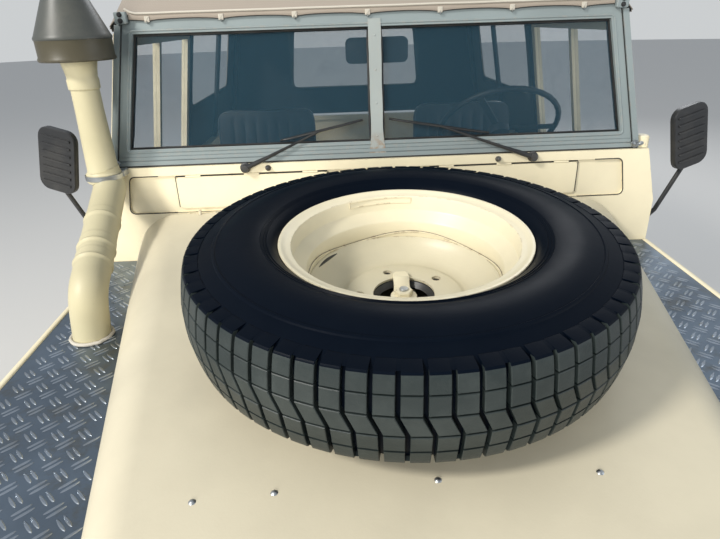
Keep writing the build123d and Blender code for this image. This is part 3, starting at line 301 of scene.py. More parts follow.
zinc = metal("zinc_coat", (0.55, 0.57, 0.58), 0.38, 90.0)
# The plate's dark blue base is painted shade and a painted reflection of the sky; its stain is real dirt.
sky_tinted_plate_metal = metal("chequer_aluminium_sky_tint", (0.215, 0.265, 0.325), 0.38, 60.0, (1, 0.15, 1), (0.16, 0.155, 0.13))
# The bars are paler than the plate as painted glints; their stain is real dirt.
glinting_bar_metal = metal("chequer_bar_aluminium_glint", (0.46, 0.51, 0.57), 0.28, 90.0, stain=(0.28, 0.27, 0.24))
bright_steel = metal("bright_steel", (0.62, 0.61, 0.59), 0.30, 120.0)
cast_metal = metal("grey_casting", (0.20, 0.20, 0.20), 0.62, 200.0, stain=(0.09, 0.055, 0.035))
black_casting = paint(
    "black_casting", (0.035, 0.034, 0.033), 0.6, 1.0, (0.10, 0.05, 0.03), (0.18, 0.14, 0.10)
)
pipe_steel = metal("exhaust_steel", (0.24, 0.19, 0.16), 0.6, 80.0, stain=(0.14, 0.07, 0.035))
print("metals made")


# %% Rubber and plastics
def soft_black(name, color, roughness, grain, depth, bloom=(0.09, 0.085, 0.075), gloss=0.5):
    look = Look(name, color, roughness)
    look.set("Specular IOR Level", gloss)
    cloud = look.noise(11.0, 6.0, 0.65)
    look.set("Base Color", look.mix(cloud.ramp(0.45, 0.8) * 0.35, color, bloom))
    look.set("Roughness", roughness + (cloud - 0.5) * 0.25)
    look.bump(look.noise(grain, 4.0, 0.7), depth, 0.5)
    return look.done()


TREAD, TREAD_BLOOM = (0.0168, 0.0235, 0.0235), (0.078, 0.091, 0.087)
# Sidewall rubber and its bloom are tinted blue as a painted reflection of the sky.
WALL, SIDEWALL_BLOOM_SKY_TINT = (0.0014, 0.0032, 0.0072), (0.003, 0.006, 0.011)
tread_rubber = soft_black("tread_rubber", TREAD, 0.44, 160.0, 0.0009, TREAD_BLOOM, 0.40)
sky_tinted_wall_rubber = soft_black("sidewall_sky_tinted_rubber", WALL, 0.40, 90.0, 0.0003, SIDEWALL_BLOOM_SKY_TINT, 0.055)
seal_rubber = soft_black("seal_rubber", (0.016, 0.016, 0.016), 0.5, 300.0, 0.0003)
black_plastic = soft_black("black_plastic", (0.020, 0.021, 0.023), 0.42, 500.0, 0.0002)
vinyl = soft_black("seat_vinyl", (0.028, 0.029, 0.032), 0.40, 420.0, 0.0005, (0.08, 0.08, 0.085))
print("rubber and plastics made")


# %% Glass and lenses
def clear(name, color, roughness, cover):
    """Thin glass: mostly clear, with the shader's gloss on top and a little dust that hides."""
    look = Look(name, color, roughness)
    dust = look.noise(14.0, 6.0, 0.7).ramp(0.5, 0.85)
    look.set("Alpha", cover + dust * 0.05)
    look.set("Roughness", roughness + dust * 0.15)
    look.shader.inputs["IOR"].default_value = 1.5
    look.material.use_transparent_shadow = True
    return look.done()


# The windscreen's blue tint over part of its cover is a painted reflection of the sky.
window_glass_sky_tint = clear("window_glass_sky_tint", (0.032, 0.088, 0.130), 0.02, 0.22)
door_glass = clear("door_glass", (0.05, 0.10, 0.11), 0.02, 0.08)
soft_window = clear("soft_window", (0.30, 0.34, 0.28), 0.10, 0.16)
lens_glass = clear("lamp_lens", (0.75, 0.78, 0.80), 0.06, 0.32)


def lens(name, color):
    look = Look(name, color, 0.12)
    ribs = (look.axis("x") * 1400.0).wave() * 0.5 + (look.axis("z") * 1400.0).wave() * 0.5
    look.set("Base Color", look.mix(ribs.ramp(-1, 1), tuple(c * 0.6 for c in color), color))
    look.bump(ribs, 0.0006, 0.6)
    return look.done()


amber_lens = lens("amber_lens", (0.80, 0.26, 0.02))
red_lens = lens("red_lens", (0.48, 0.012, 0.010))
white_lens = lens("white_lens", (0.74, 0.75, 0.74))
mirror_face = metal("mirror_silver", (0.86, 0.87, 0.88), 0.04, 300.0)
print("glass and lenses made")


# %% Canvas
WEAVE = 900.0


def canvas(name, color):
    """Proofed cotton: a fine plain weave, paler where it is rubbed and darker where damp has dried."""
    look = Look(name, color, 0.86, sheen_weight=0.12)
    warp = (look.axis("y") * WEAVE).wave() * 0.5 + 0.5
    weft = ((look.axis("x") + look.axis("z")) * WEAVE).wave() * 0.5 + 0.5
    cloth = warp * 0.5 + weft * 0.5
    cloud = look.noise(2.6, 6.0, 0.62)
    stain = look.noise(9.0, 8.0, 0.7)
    body = look.mix(cloud.ramp(0.35, 0.7), color, tuple(c * 0.80 for c in color))
    body = look.mix(stain.ramp(0.58, 0.75) * 0.4, body, tuple(c * 1.22 for c in color))
    look.set("Base Color", look.mix(cloth.ramp(0.2, 0.9) * 0.25, tuple(c * 0.8 for c in color), body))
    look.bump(cloth * 0.4 + look.noise(30.0, 5.0), 0.0012, 0.35)
    return look.done()


hood_canvas = canvas("hood_canvas", (0.392, 0.338, 0.282))
# Near-black blue for the hood's inner face: painted shade inside the hood.
hood_inside_shade = canvas("hood_inside_shade", (0.013, 0.017, 0.022))
piping_cloth = canvas("piping_cloth", (0.62, 0.58, 0.50))
print("canvas made")

# %% [markdown]
# ## A maker of mesh pieces
# Most trim is turned, swept, folded or bolted, so one class gathers such shapes into a mesh. `at` sets
# where the next shapes go, `use` picks the finish, and `piece` hands the result over: it rides on the
# body that carries it and hides the imported node that it stands for, if any.


# %% The maker class
def circle(radius, steps, height=0.0, start=0.0, arc=360.0):
    """Points round Z from one angle and over an arc; only an open arc has both its ends."""
    angles = [math.radians(start + arc * step / steps) for step in range(steps + (arc != 360.0))]
    return [(radius * math.cos(angle), radius * math.sin(angle), height) for angle in angles]


def grid_cells(tall, wide, around=False):
    """Corner numbers of each cell of a grid; around joins each row's last point to its first."""
    for r in range(0, (tall - 1) * wide, wide):
        for c in range(wide if around else wide - 1):
            d = (c + 1) % wide
            yield (r + c, r + d, r + wide + d, r + wide + c)


def aim(place, facing):
    """A frame whose Z axis faces one way from a place."""
    return Matrix.Translation(place) @ Vector(facing).to_track_quat("Z", "Y").to_matrix().to_4x4()


class Maker:
    """Shapes gathered into one mesh, in the present frame and finish."""

    def __init__(self, name, *looks):
        self.name, self.looks = name, looks
        self.mesh = bmesh.new()
        self.frame = Matrix()
        self.finish = 0

    def at(self, frame):
        self.frame = frame
        return self

    def use(self, finish):
        self.finish = finish
        return self

    def add(self, corners, faces):
        """Corners in the present frame and faces as runs of corner numbers."""
        made = [self.mesh.verts.new(self.frame @ Vector(corner)) for corner in corners]
        for face in faces:
            new = self.mesh.faces.new([made[i] for i in face])
            new.material_index, new.smooth = self.finish, True
        return made

    def skin(self, rows, around=False, ends=False):
        """A skin over rows of points."""
        wide, tall = len(rows[0]), len(rows)
        faces = list(grid_cells(tall, wide, around))
        if ends:
            faces += [tuple(range(wide))[::-1], tuple((tall - 1) * wide + c for c in range(wide))]
        return self.add([point for row in rows for point in row], faces)

    def prism(self, outline, low, high, bevel):
        """An outline of X and Y points between two heights, with its top and bottom edges eased."""
        outline = [Vector(p[:2]) for p in outline]
        middle = sum(outline, Vector((0, 0))) / len(outline)

        def level(height, ease):
            return [(*(p - (p - middle).normalized() * ease), height) for p in outline]

        rows = [level(low, bevel), level(low + bevel, 0), level(high - bevel, 0), level(high, bevel)]
        return self.skin(rows, around=True, ends=True)

    def bar(self, x, y, z, bevel, corner=0.0):
        """A box between limits, with eased edges and, if asked, rounded corners in plan."""
        e = bevel
        outline = [(x[1], y[1] - e), (x[1] - e, y[1]), (x[0] + e, y[1]), (x[0], y[1] - e)]
        outline += [(x[0], y[0] + e), (x[0] + e, y[0]), (x[1] - e, y[0]), (x[1], y[0] + e)]
        if corner:
            right, left, back, front = x[1] - corner, x[0] + corner, y[1] - corner, y[0] + corner
            middles = ((right, back, 0), (left, back, 90), (left, front, 180), (right, front, 270))
            outline = [
                (middle_x + dx, middle_y + dy)
                for middle_x, middle_y, start in middles
                for dx, dy, _ in circle(corner, 5, 0.0, start, 90)
            ]
        return self.prism(outline, z[0], z[1], bevel)

    def turn(self, profile, steps, closed=False):
        """A shape turned about the frame's Z axis from points of radius and height."""
        profile = profile + profile[:1] if closed else profile
        rows = [circle(radius, steps, height) for radius, height in profile]
        bmesh.ops.remove_doubles(self.mesh, verts=self.skin(rows, around=True), dist=1e-6)

    def tube(self, points, radius, sides, closed=False):
        """A round section swept along points; radius is one number or one for each point."""
        points = [Vector(p) for p in points]
        radii = radius if isinstance(radius, (list, tuple)) else [radius] * len(points)
        rows, up = [], None
        for i, point in enumerate(points):
            before = points[i - 1] if i or closed else points[0]
            after = points[(i + 1) % len(points)] if i < len(points) - 1 or closed else points[-1]
            along = (after - before).normalized()
            if up is None:
                up = along.orthogonal().normalized()
            up = (up - along * up.dot(along)).normalized()
            side = along.cross(up)
            turns = [2 * math.pi * step / sides for step in range(sides)]
            rows.append([point + (up * math.cos(turn) + side * math.sin(turn)) * radii[i] for turn in turns])
        self.skin(rows + (rows[:1] if closed else []), around=True, ends=not closed)

    def bolt(self, place, facing, size, washer=True):
        """A hexagon head on its washer, standing on a surface that faces one way."""
        before, self.frame = self.frame, self.frame @ aim(place, facing)
        if washer:
            self.turn([(0, 0.0012), (size * 1.35, 0.0012), (size * 1.45, 0)], 16)
        self.prism(circle(size, 6), 0.0008, size * 0.75, size * 0.12)
        self.frame = before

    def rivet(self, place, facing, size):
        """A low domed head."""
        before, self.frame = self.frame, self.frame @ aim(place, facing)
        self.turn([(0, size * 0.5), (size * 0.6, size * 0.4), (size, 0)], 8)
        self.frame = before

    def pour(self):
        """The mesh as Blender data, with its faces turned outwards."""
        bmesh.ops.recalc_face_normals(self.mesh, faces=self.mesh.faces[:])
        data = bpy.data.meshes.new(self.name)
        self.mesh.to_mesh(data)
        self.mesh.free()
        return bpy.data.objects.new(self.name, data)

    def piece(self, body, slot, stands_for=(), crease=38.0):
        """Puts the mesh in the scene, dressed and riding; the slot is not used."""
        obj = self.pour()
        obj.data.set_sharp_from_angle(angle=math.radians(crease))
        bpy.context.scene.collection.objects.link(obj)
        for look in self.looks:
            obj.data.materials.append(look)
        if stands_for:
            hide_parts(*stands_for)
        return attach(obj, body)


def rounded(points, radius, steps):
    """A run of straight stretches joined by arcs."""
    points = [Vector(p) for p in points]
    run = [points[0]]
    for before, corner, after in zip(points, points[1:], points[2:]):
        back, on = (before - corner).normalized(), (after - corner).normalized()
        half = back.angle(on) / 2
        reach = min(radius / math.tan(half), (before - corner).length * 0.49, (after - corner).length * 0.49)
        start, end = corner + back * reach, corner + on * reach
        for step in range(steps + 1):
            t = step / steps
            run.append(start * (1 - t) ** 2 + corner * (2 * t * (1 - t)) + end * t**2)
    return run + [points[-1]]


def carve(obj, cutter):
    """Cuts one closed mesh out of another, and drops the cutter."""
    modifier = obj.modifiers.new("cut", "BOOLEAN")
    modifier.operation, modifier.object = "DIFFERENCE", cutter
    depsgraph = bpy.context.evaluated_depsgraph_get()
    cut = bpy.data.meshes.new_from_object(obj.evaluated_get(depsgraph))
    obj.modifiers.clear()
    obj.data = cut
    bpy.data.objects.remove(cutter)
    cut.set_sharp_from_angle(angle=math.radians(38))


def part_way(value, low, high):
    """0 at low and 1 at high, straight between them and no further."""
    return min(max((value - low) / (high - low), 0.0), 1.0)


def mirrored(x):
    """The same X on both sides of the car."""
    return (x, -x)


def span(side, inner, outer):
    """The limits in X of a stretch on one side of the car."""
    return sorted((side * inner, side * outer))


def about(middle, half):
    """The limits of a stretch round its middle."""
    return (middle - half, middle + half)


def bonnet_z(y):
    return BONNET_Z + math.tan(BONNET_SLOPE) * (y - LEVEL_Y)


def wing_z(y):
    return WING_Z + math.tan(WING_SLOPE) * (y - LEVEL_Y)


def bonnet_half(y):
    front, back = BONNET_HALF
    return front + (back - front) * (y - BONNET_FRONT) / (BONNET_BACK - BONNET_FRONT)


def glass_y(z, off):
    """How far back a place lies that stands off the windscreen's outer face, at a height."""
    return BULKHEAD_Y + SCREEN_SET + math.tan(SCREEN_RAKE) * (z - SCREEN_Z) - 0.0025 - off


print("maker ready")

# %% [markdown]
# ## Camera and light
# The photograph was taken by someone standing in front of the car and looking down over the bonnet, with
# a wide lens. The camera stands there, with the same slight turn and tilt. The light is bright daylight:
# a small key lamp ahead of the car's right, about 40 degrees up, a broad one low in front that no gloss
# shows, two weaker ones at the side and rear, and a pale sky. The camera sees a plain backdrop instead
# of the sky.

# %% Camera
CAMERA_PLACE = Vector((-0.1025, -2.0886, 1.7432))
LENS_MM, SENSOR_MM = 27.6, 36.0
pitch, yaw, roll = math.radians(24.405), math.radians(1.399), math.radians(-1.923)
ahead = Vector((math.sin(yaw) * math.cos(pitch), math.cos(yaw) * math.cos(pitch), -math.sin(pitch)))
level = Vector((math.cos(yaw), -math.sin(yaw), 0))
above = level.cross(ahead)
right = level * math.cos(roll) + above * math.sin(roll)
top = above * math.cos(roll) - level * math.sin(roll)
camera_data = bpy.data.cameras.new("camera")
camera_data.lens, camera_data.sensor_width = LENS_MM, SENSOR_MM
camera = bpy.data.objects.new("camera", camera_data)
camera.matrix_world = Matrix.Translation(CAMERA_PLACE) @ Matrix((right, top, -ahead)).transposed().to_4x4()
bpy.context.scene.collection.objects.link(camera)
bpy.context.scene.camera = camera
bpy.context.scene.view_settings.view_transform = "Standard"
print("camera at", [round(c, 3) for c in CAMERA_PLACE])


# %% Floor, sky and lamps
LAMPS = [
    # name, place, what it is aimed at, size, watts, colour
    ("key", (-4.8, -4.2, 5.85), (0, -0.8, 1.1), 1.2, 430, (1.0, 0.965, 0.90)),
    ("front", (-2.2, -6.4, 2.4), (0, 0, 1.2), 3.0, 290, (1.0, 0.97, 0.91)),
    ("side", (5.5, -2.5, 3.0), (0, 0, 1.0), 4.0, 45, (0.90, 0.95, 1.0)),
    ("rim", (2.5, 6.0, 5.0), (0, 0, 1.2), 4.0, 150, (0.96, 0.98, 1.0)),
]
for name, place, aimed_at, size, watts, color in LAMPS:
    light = bpy.data.lights.new(name, "AREA")
    light.shape, light.size, light.energy, light.color = "DISK", size, watts, color
    obj = bpy.data.objects.new(name, light)
    facing = (Vector(aimed_at) - Vector(place)).to_track_quat("-Z", "Y").to_matrix().to_4x4()
    obj.matrix_world = Matrix.Translation(place) @ facing
    obj.visible_glossy = name != "front"
    bpy.context.scene.collection.objects.link(obj)
floor_mesh = bmesh.new()
bmesh.ops.create_circle(floor_mesh, cap_ends=True, radius=40.0, segments=96)
floor_data = bpy.data.meshes.new("floor")
floor_mesh.to_mesh(floor_data)
floor_mesh.free()
floor = bpy.data.objects.new("floor", floor_data)
floor.data.materials.append(Look("floor_finish", (0.62, 0.61, 0.59), 0.75).done())
bpy.context.scene.collection.objects.link(floor)
world = bpy.data.worlds.new("sky")
world.use_nodes = True
bpy.context.scene.world = world
tree = world.node_tree
sky = tree.nodes["Background"]
backdrop = tree.nodes.new("ShaderNodeBackground")
rays = tree.nodes.new("ShaderNodeLightPath")
either = tree.nodes.new("ShaderNodeMixShader")
for shade, color, strength in ((sky, (0.80, 0.86, 0.93, 1), 0.57), (backdrop, (0.60, 0.62, 0.63, 1), 1.0)):
    shade.inputs["Color"].default_value = color
    shade.inputs["Strength"].default_value = strength
for place, source in enumerate((rays.outputs["Is Camera Ray"], sky.outputs[0], backdrop.outputs[0])):
    tree.links.new(source, either.inputs[place])
tree.links.new(either.outputs[0], tree.nodes["World Output"].inputs["Surface"])
print("floor, sky and", len(LAMPS), "lamps")

# %% [markdown]
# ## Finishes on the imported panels
# Flat and folded panels are already right, so they only need paint. Round ones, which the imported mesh
# shows in coarse facets, are made again further down.


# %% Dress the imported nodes
FINISHES = [
    (body_paint, "wings", "bulkhead", "door_left", "door_right"),
    (body_paint, "rear_tub", "tailgate", "front_panel", "grille"),
    (screen_paint, "windscreen_frame"),
    (sky_tinted_plate_metal, "wing_plates"),
    (zinc, "front_bumper"),
    # The cab floor, seat box and dash take the dark blue-grey that is painted shade inside the cab.
    (cab_shade_paint, "floor_seatbox", "dashboard"),
    (chassis_paint, "chassis_frame", "leaf_springs", "axles", "track_rod"),
    (chassis_paint, "tow_hitch", "fuel_tank", "hood_frame"),
    (black_casting, "knuckle_left", "knuckle_right"),
    (cast_metal, "engine_gearbox"),
    (pipe_steel, "exhaust"),
    (window_glass_sky_tint, "windscreen_glass"),
    (door_glass, "door_glass_left", "door_glass_right"),
    (soft_window, "hood_windows"),
]
for look, *names in FINISHES:
    for name in names:
        if not nodes[name].material_slots:
            nodes[name].data.materials.append(look)
        for held in nodes[name].material_slots:
            held.material = look
print("packed nodes dressed:", sum(len(names) for look, *names in FINISHES))

# %% [markdown]
# ## Tyres
# A road tyre with five rows of small blocks. The casing is turned from its cross-section; the rows of
# blocks are laid round it by a loop over a short table, and the two shoulder rows run on down the side
# of the tyre. Blocks in the middle row are slanted. Each tyre is made at the origin and then set at its
# axle end or on the bonnet.

# %% Tread rows and casing
BLOCKS_ROUND = 72
GROOVE = 0.0067
BLOCK_EASE = 0.0009
CASING_UNDER_TREAD = 0.3730
WALL_FROM = 0.0728  # beyond this distance from the middle the rubber is the side's
CROWN = [
    # distance from the tyre's middle, radius of the tread there
    (0.000, 0.3910), (0.017, 0.3900), (0.034, 0.3880), (0.051, 0.3845),
]
CROWN_ROWS = [
    # inner edge, outer edge, and how far each is shifted along the tread
    (-0.0445, -0.0175, 0.000, 0.000),
    (-0.0145, 0.0145, 0.000, 0.013),
    (0.0175, 0.0445, 0.013, 0.013),
]
LUG = [
    # distance from the middle, radius of the lug's outside, radius of the casing behind it
    (0.0475, 0.3851, 0.3745),
    (0.0540, 0.3836, 0.3740),
    (0.0640, 0.3812, 0.3725),
    (0.0715, 0.3788, 0.3700),
    (0.0742, 0.3762, 0.3670),
    (0.0757, 0.3670, 0.3600),
    (0.0768, 0.3540, 0.3535),
]
CASING = [
    # radius, distance from the tyre's middle
    (0.2045, 0.0634), (0.2160, 0.0636), (0.2212, 0.0668), (0.2240, 0.0740), (0.2330, 0.0822),
    (0.2395, 0.0862), (0.2405, 0.0852), (0.2445, 0.0884), (0.2455, 0.0874), (0.2495, 0.0902),
    (0.2505, 0.0892), (0.2620, 0.0935), (0.2800, 0.0952), (0.2970, 0.0940), (0.3150, 0.0893),
    (0.3245, 0.0861), (0.3262, 0.0873), (0.3295, 0.0861), (0.3310, 0.0838), (0.3350, 0.0825),
    (0.3450, 0.0790), (0.3520, 0.0768), (0.3600, 0.0735), (0.3680, 0.0690), (0.3740, 0.0520),
    (0.3780, 0.0200),
]


def round_point(across, radius, angle):
    return (across, radius * math.sin(angle), radius * math.cos(angle))


def crown_radius(across):
    """The tread's radius at a distance from the tyre's middle."""
    for (x0, r0), (x1, r1) in zip(CROWN, CROWN[1:]):
        if abs(across) <= x1:
            return r0 + (r1 - r0) * (abs(across) - x0) / (x1 - x0)
    return CROWN[-1][1]


def tread_block(maker, low, high, start, end, shift_low, shift_high):
    """A block with eased top edges, between two edges across the tread and two angles."""
    ease_angle = BLOCK_EASE / TYRE_RADIUS
    plan = [
        # across the tread, angle, and which way lies inwards for each
        (low, start + shift_low / TYRE_RADIUS, 1, 1),
        (high, start + shift_high / TYRE_RADIUS, -1, 1),
        (high, end + shift_high / TYRE_RADIUS, -1, -1),
        (low, end + shift_low / TYRE_RADIUS, 1, -1),
    ]
    foot = [round_point(x, CASING_UNDER_TREAD, angle) for x, angle, _, _ in plan]
    waist = [round_point(x, crown_radius(x) - BLOCK_EASE, angle) for x, angle, _, _ in plan]
    top_face = [
        round_point(x + inward * BLOCK_EASE, crown_radius(x), angle + onward * ease_angle)
        for x, angle, inward, onward in plan
    ]
    maker.skin([foot, waist, top_face], around=True)
    maker.add(top_face, [(0, 1, 2, 3)])


def shoulder_lug(maker, side, start, end):
    """A lug that turns over the shoulder and runs out down the side."""
    ease = BLOCK_EASE / TYRE_RADIUS
    outside = [(side * x, radius) for x, radius, _ in LUG]
    behind = [(side * x * 0.98, radius) for x, _, radius in LUG]
    rows = [[round_point(x, radius, start) for x, radius in behind]]
    for angle, drop in ((start, BLOCK_EASE), (start + ease, 0), (end - ease, 0), (end, BLOCK_EASE)):
        rows.append([round_point(x, radius - drop, angle) for x, radius in outside])
    rows.append([round_point(x, radius, end) for x, radius in behind])
    maker.skin(rows)
    for column in (0, len(LUG) - 1):
        maker.add([row[column] for row in rows], [tuple(range(len(rows)))])


def lug_web(maker, side, start, end):
    """The rubber that joins two lugs low down, where every second groove stops short."""
    profile = [(0.0700, 0.3680), (0.0738, 0.3735), (0.0755, 0.3670), (0.0766, 0.3540)]
    maker.skin([[round_point(side * x, radius, angle) for x, radius in profile] for angle in (start, end)])


def make_tyre(name, place, body):
    maker = Maker(name, tread_rubber, sky_tinted_wall_rubber)
    maker.at(Matrix.Rotation(math.radians(90), 4, "Y"))
    maker.use(1).turn([(r, x) for r, x in CASING] + [(r, -x) for r, x in reversed(CASING)], 96)
    maker.at(Matrix()).use(0)
    step = 2 * math.pi / BLOCKS_ROUND
    gap = GROOVE / TYRE_RADIUS
    for block in range(BLOCKS_ROUND):
        start, end = block * step, (block + 1) * step - gap
        for low, high, shift_low, shift_high in CROWN_ROWS:
            tread_block(maker, low, high, start, end, shift_low, shift_high)
        for side, shift in ((-1, CROWN_ROWS[0][2]), (1, CROWN_ROWS[-1][3])):
            turn = shift / TYRE_RADIUS
            shoulder_lug(maker, side, start + turn, end + turn)
            if block % 2:
                lug_web(maker, side, end + turn, end + gap + turn)
    for face in maker.mesh.faces:
        if abs(face.calc_center_median().x) > WALL_FROM:
            face.material_index = 1
    bmesh.ops.transform(maker.mesh, matrix=place, verts=maker.mesh.verts[:])
    return maker.piece(body, "tyre", [name.replace("fine_", "")], 30.0)


CORNERS = [
    # name, place along the car, side
    (f"{end}_{hand}", y, side)
    for end, y in (("front", FRONT_AXLE_Y), ("rear", REAR_AXLE_Y))
    for hand, side in (("left", 1), ("right", -1))
]


def corner_place(y, side):
    """The frame of a wheel, with X pointing out of the car."""
    facing = Matrix.Rotation(0 if side > 0 else math.pi, 4, "Z")
    return Matrix.Translation((side * TRACK / 2, y, TYRE_RADIUS)) @ facing


SPARE_WHEEL_PLACE = SPARE_PLACE @ Matrix.Translation((0, 0, SPARE_GAP + TYRE_HALF_WIDTH))
SPARE_WHEEL_PLACE = SPARE_WHEEL_PLACE @ Matrix.Rotation(math.radians(90), 4, "Y")
SPARE_WHEEL_PLACE = SPARE_WHEEL_PLACE @ Matrix.Rotation(SPARE_TURN, 4, "X")
for corner, y, side in CORNERS:
    make_tyre(f"fine_tyre_{corner}", corner_place(y, side), f"wheel_{corner}")
spare = make_tyre("fine_spare_tyre", SPARE_WHEEL_PLACE, "bonnet")
print("five tyres of", len(spare.data.polygons), "faces")

# %% [markdown]
# ## Wheels
# Pressed steel wheels: a rolled flange, a bead seat, a dropped well, and a dished disc welded in with a
# wavy edge. Five stud holes and the centre bore are cut through. The road wheels carry hub caps, nuts
# and brake drums. The spare lies with its inner side up, and its disc is painted a darker sand as
# painted shade where the rim's shadow falls into the dish, and carries more dust and chips.

# %% Rim, disc and their holes
RIM_SIDE = [
    # radius, distance from the wheel's middle, from the well on the tyre's side, over the flange and back
    (0.1800, 0.0160), (0.1815, 0.0200), (0.2010, 0.0340), (0.2035, 0.0380), (0.2040, 0.0620),
    (0.2060, 0.0636), (0.2140, 0.0640), (0.2185, 0.0665), (0.2208, 0.0700), (0.2220, 0.0728),
    (0.2212, 0.0745), (0.2185, 0.0750), (0.2150, 0.0735), (0.2110, 0.0705), (0.2060, 0.0695),
    (0.2005, 0.0680), (0.1990, 0.0650), (0.1985, 0.0400), (0.1970, 0.0370), (0.1770, 0.0225),
    (0.1752, 0.0190),
]
RIM = RIM_SIDE + [(radius, -x) for radius, x in reversed(RIM_SIDE)]
DISC = [
    # radius, distance from the wheel's middle: the outer side inwards, then the inner side outwards
    (0.1765, 0.0120), (0.1735, 0.0260), (0.1640, 0.0360), (0.1520, 0.0450), (0.1420, 0.0515),
    (0.1320, 0.0550), (0.1180, 0.0550), (0.1110, 0.0535), (0.1050, 0.0510), (0.0600, 0.0510),
    (0.0572, 0.0500), (0.0570, 0.0455), (0.0600, 0.0450), (0.1050, 0.0450), (0.1090, 0.0462),
    (0.1130, 0.0488), (0.1190, 0.0498), (0.1300, 0.0496), (0.1390, 0.0460), (0.1490, 0.0395),
    (0.1610, 0.0290), (0.1690, 0.0200), (0.1730, 0.0120),
]
STUDS, STUD_CIRCLE, STUD_HOLE = 5, 0.0825, 0.0085
DISC_FACE, DISC_BACK = 0.0510, 0.0450
WELD_RADIUS = 0.1750
HUB_CAP = [
    # radius, distance from the wheel's middle
    (0.0, 0.0850), (0.0280, 0.0845), (0.0335, 0.0815), (0.0350, 0.0780), (0.0470, 0.0690),
    (0.0505, 0.0660), (0.0520, 0.0600), (0.0520, 0.0400),
]
DRUM = [
    # radius, distance from the wheel's middle
    (0.0330, -0.038), (0.0330, 0.0445), (0.1090, 0.0445), (0.1270, 0.0320), (0.1360, -0.0250),
    (0.1400, -0.0280), (0.1400, -0.0440), (0.1320, -0.0440), (0.1260, 0.0200), (0.0450, 0.0250),
]


def on_wheel(x, radius, count, start=0.0):
    """Places round the wheel's axis, which is X in the wheel's frame."""
    return [(x, y, z) for z, y, _ in circle(radius, count, start=start)]


def make_wheel(name, place, body, node, dish=wheel_paint):
    turned = place @ Matrix.Rotation(math.radians(90), 4, "Y")
    disc = Maker(name, dish, bright_steel)
    disc.at(turned).turn(DISC, 96, closed=True)
    holes = Maker("stud_holes").at(place)
    for _, y, z in on_wheel(0, STUD_CIRCLE, STUDS):
        holes.tube([(DISC_BACK - 0.03, y, z), (DISC_FACE + 0.03, y, z)], STUD_HOLE, 20)
    cutter = holes.pour()
    bpy.context.scene.collection.objects.link(cutter)
    carve(disc.piece(body, "wheel_paint", [node]), cutter)
    rim = Maker(name + "_rim", wheel_paint, black_plastic, pipe_steel)
    rim.at(turned).turn(RIM, 112, closed=True)
    weld = []
    for step, (x, y, _) in enumerate(circle(WELD_RADIUS, 96)):
        weld.append((x, y, 0.0070 + 0.0060 * math.sin(math.radians(15 * step))))
    rim.tube(weld, 0.0018, 6, closed=True)
    rim.use(2).tube([(x * 0.9945, y, z - 0.0021) for x, y, z in weld], 0.00045, 4, closed=True)
    valve = [(0.0745, 0.2000, 0.0), (0.0600, 0.1880, 0.0), (0.0300, 0.1800, 0.0)]
    rim.at(place).use(1).tube(valve, [0.0035, 0.0045, 0.0050], 10)
    rim.piece(body, "wheel_paint")


for corner, y, side in CORNERS:
    place = corner_place(y, side)
    make_wheel(f"disc_{corner}", place, f"wheel_{corner}", f"wheel_{corner}")
    hub = Maker(f"hub_{corner}", wheel_paint, bright_steel, black_casting)
    hub.at(place @ Matrix.Rotation(math.radians(90), 4, "Y")).turn(HUB_CAP, 40)
    hub.use(2).turn(DRUM, 56, closed=True)
    hub.use(1).at(place)
    for _, stud_y, stud_z in on_wheel(0, STUD_CIRCLE, STUDS):
        hub.bolt((DISC_FACE + 0.0002, stud_y, stud_z), (1, 0, 0), 0.0125)
        hub.tube([(DISC_FACE, stud_y, stud_z), (0.0700, stud_y, stud_z)], 0.0075, 12)
    hub.use(0)
    for nut in on_wheel(0.0690, 0.0415, 6, 15):
        hub.bolt(nut, (1, 0, 0), 0.0055)
    hub.piece(f"wheel_{corner}", "wheel_paint")
# The spare's disc takes the darker sand that is painted shade in its dish.
make_wheel("spare_disc", SPARE_WHEEL_PLACE, "bonnet", "spare_wheel", dish_shade_paint)
print("five wheels")

# %% [markdown]
# ## Spare wheel carrier
# A dished pan stands on the bonnet under the wheel, finished black as painted shade for the dark seen
# through the bore and the stud holes, and a strip cranked down into the bore is held by one nut. The
# strip lies fore and aft, and a black tube, thickest in its middle, lies at the rim on one side as painted
# shade in the narrow gap that the wheel's disc leaves there. The rim's wall bears the raised outline of a
# worn pad towards the windscreen.

# %% Pan, strip and nut
WHEEL_MIDDLE = SPARE_GAP + TYRE_HALF_WIDTH
DISC_UNDERSIDE, DISC_TOP = WHEEL_MIDDLE - DISC_FACE, WHEEL_MIDDLE - DISC_BACK
PAN = [
    # radius, height above the bonnet
    (0.170, 0.0005), (0.170, 0.004), (0.150, 0.006), (0.146, 0.010),
    (0.098, DISC_UNDERSIDE - 0.004),
    (0.093, DISC_UNDERSIDE - 0.0005),
    (0.056, DISC_UNDERSIDE - 0.0005),
    (0.048, DISC_UNDERSIDE - 0.010),
]
STRIP = [
    # along the strip, half its width, height above the disc
    (-0.066, 0.0105, 0.0002),
    (-0.060, 0.0150, 0.0002),
    (-0.046, 0.0155, 0.0002),
    (-0.034, 0.0150, -0.0110),
    (-0.024, 0.0165, -0.0145),
    (0.024, 0.0165, -0.0145),
    (0.034, 0.0150, -0.0110),
    (0.046, 0.0155, 0.0002),
    (0.060, 0.0150, 0.0002),
    (0.066, 0.0105, 0.0002),
]
STRIP_THICK, STRIP_EASE = 0.008, 0.0015
STRIP_TOP = DISC_TOP - 0.0145 + STRIP_THICK
carrier = Maker("spare_clamp", body_paint, zinc, black_plastic, wheel_paint).at(SPARE_PLACE)
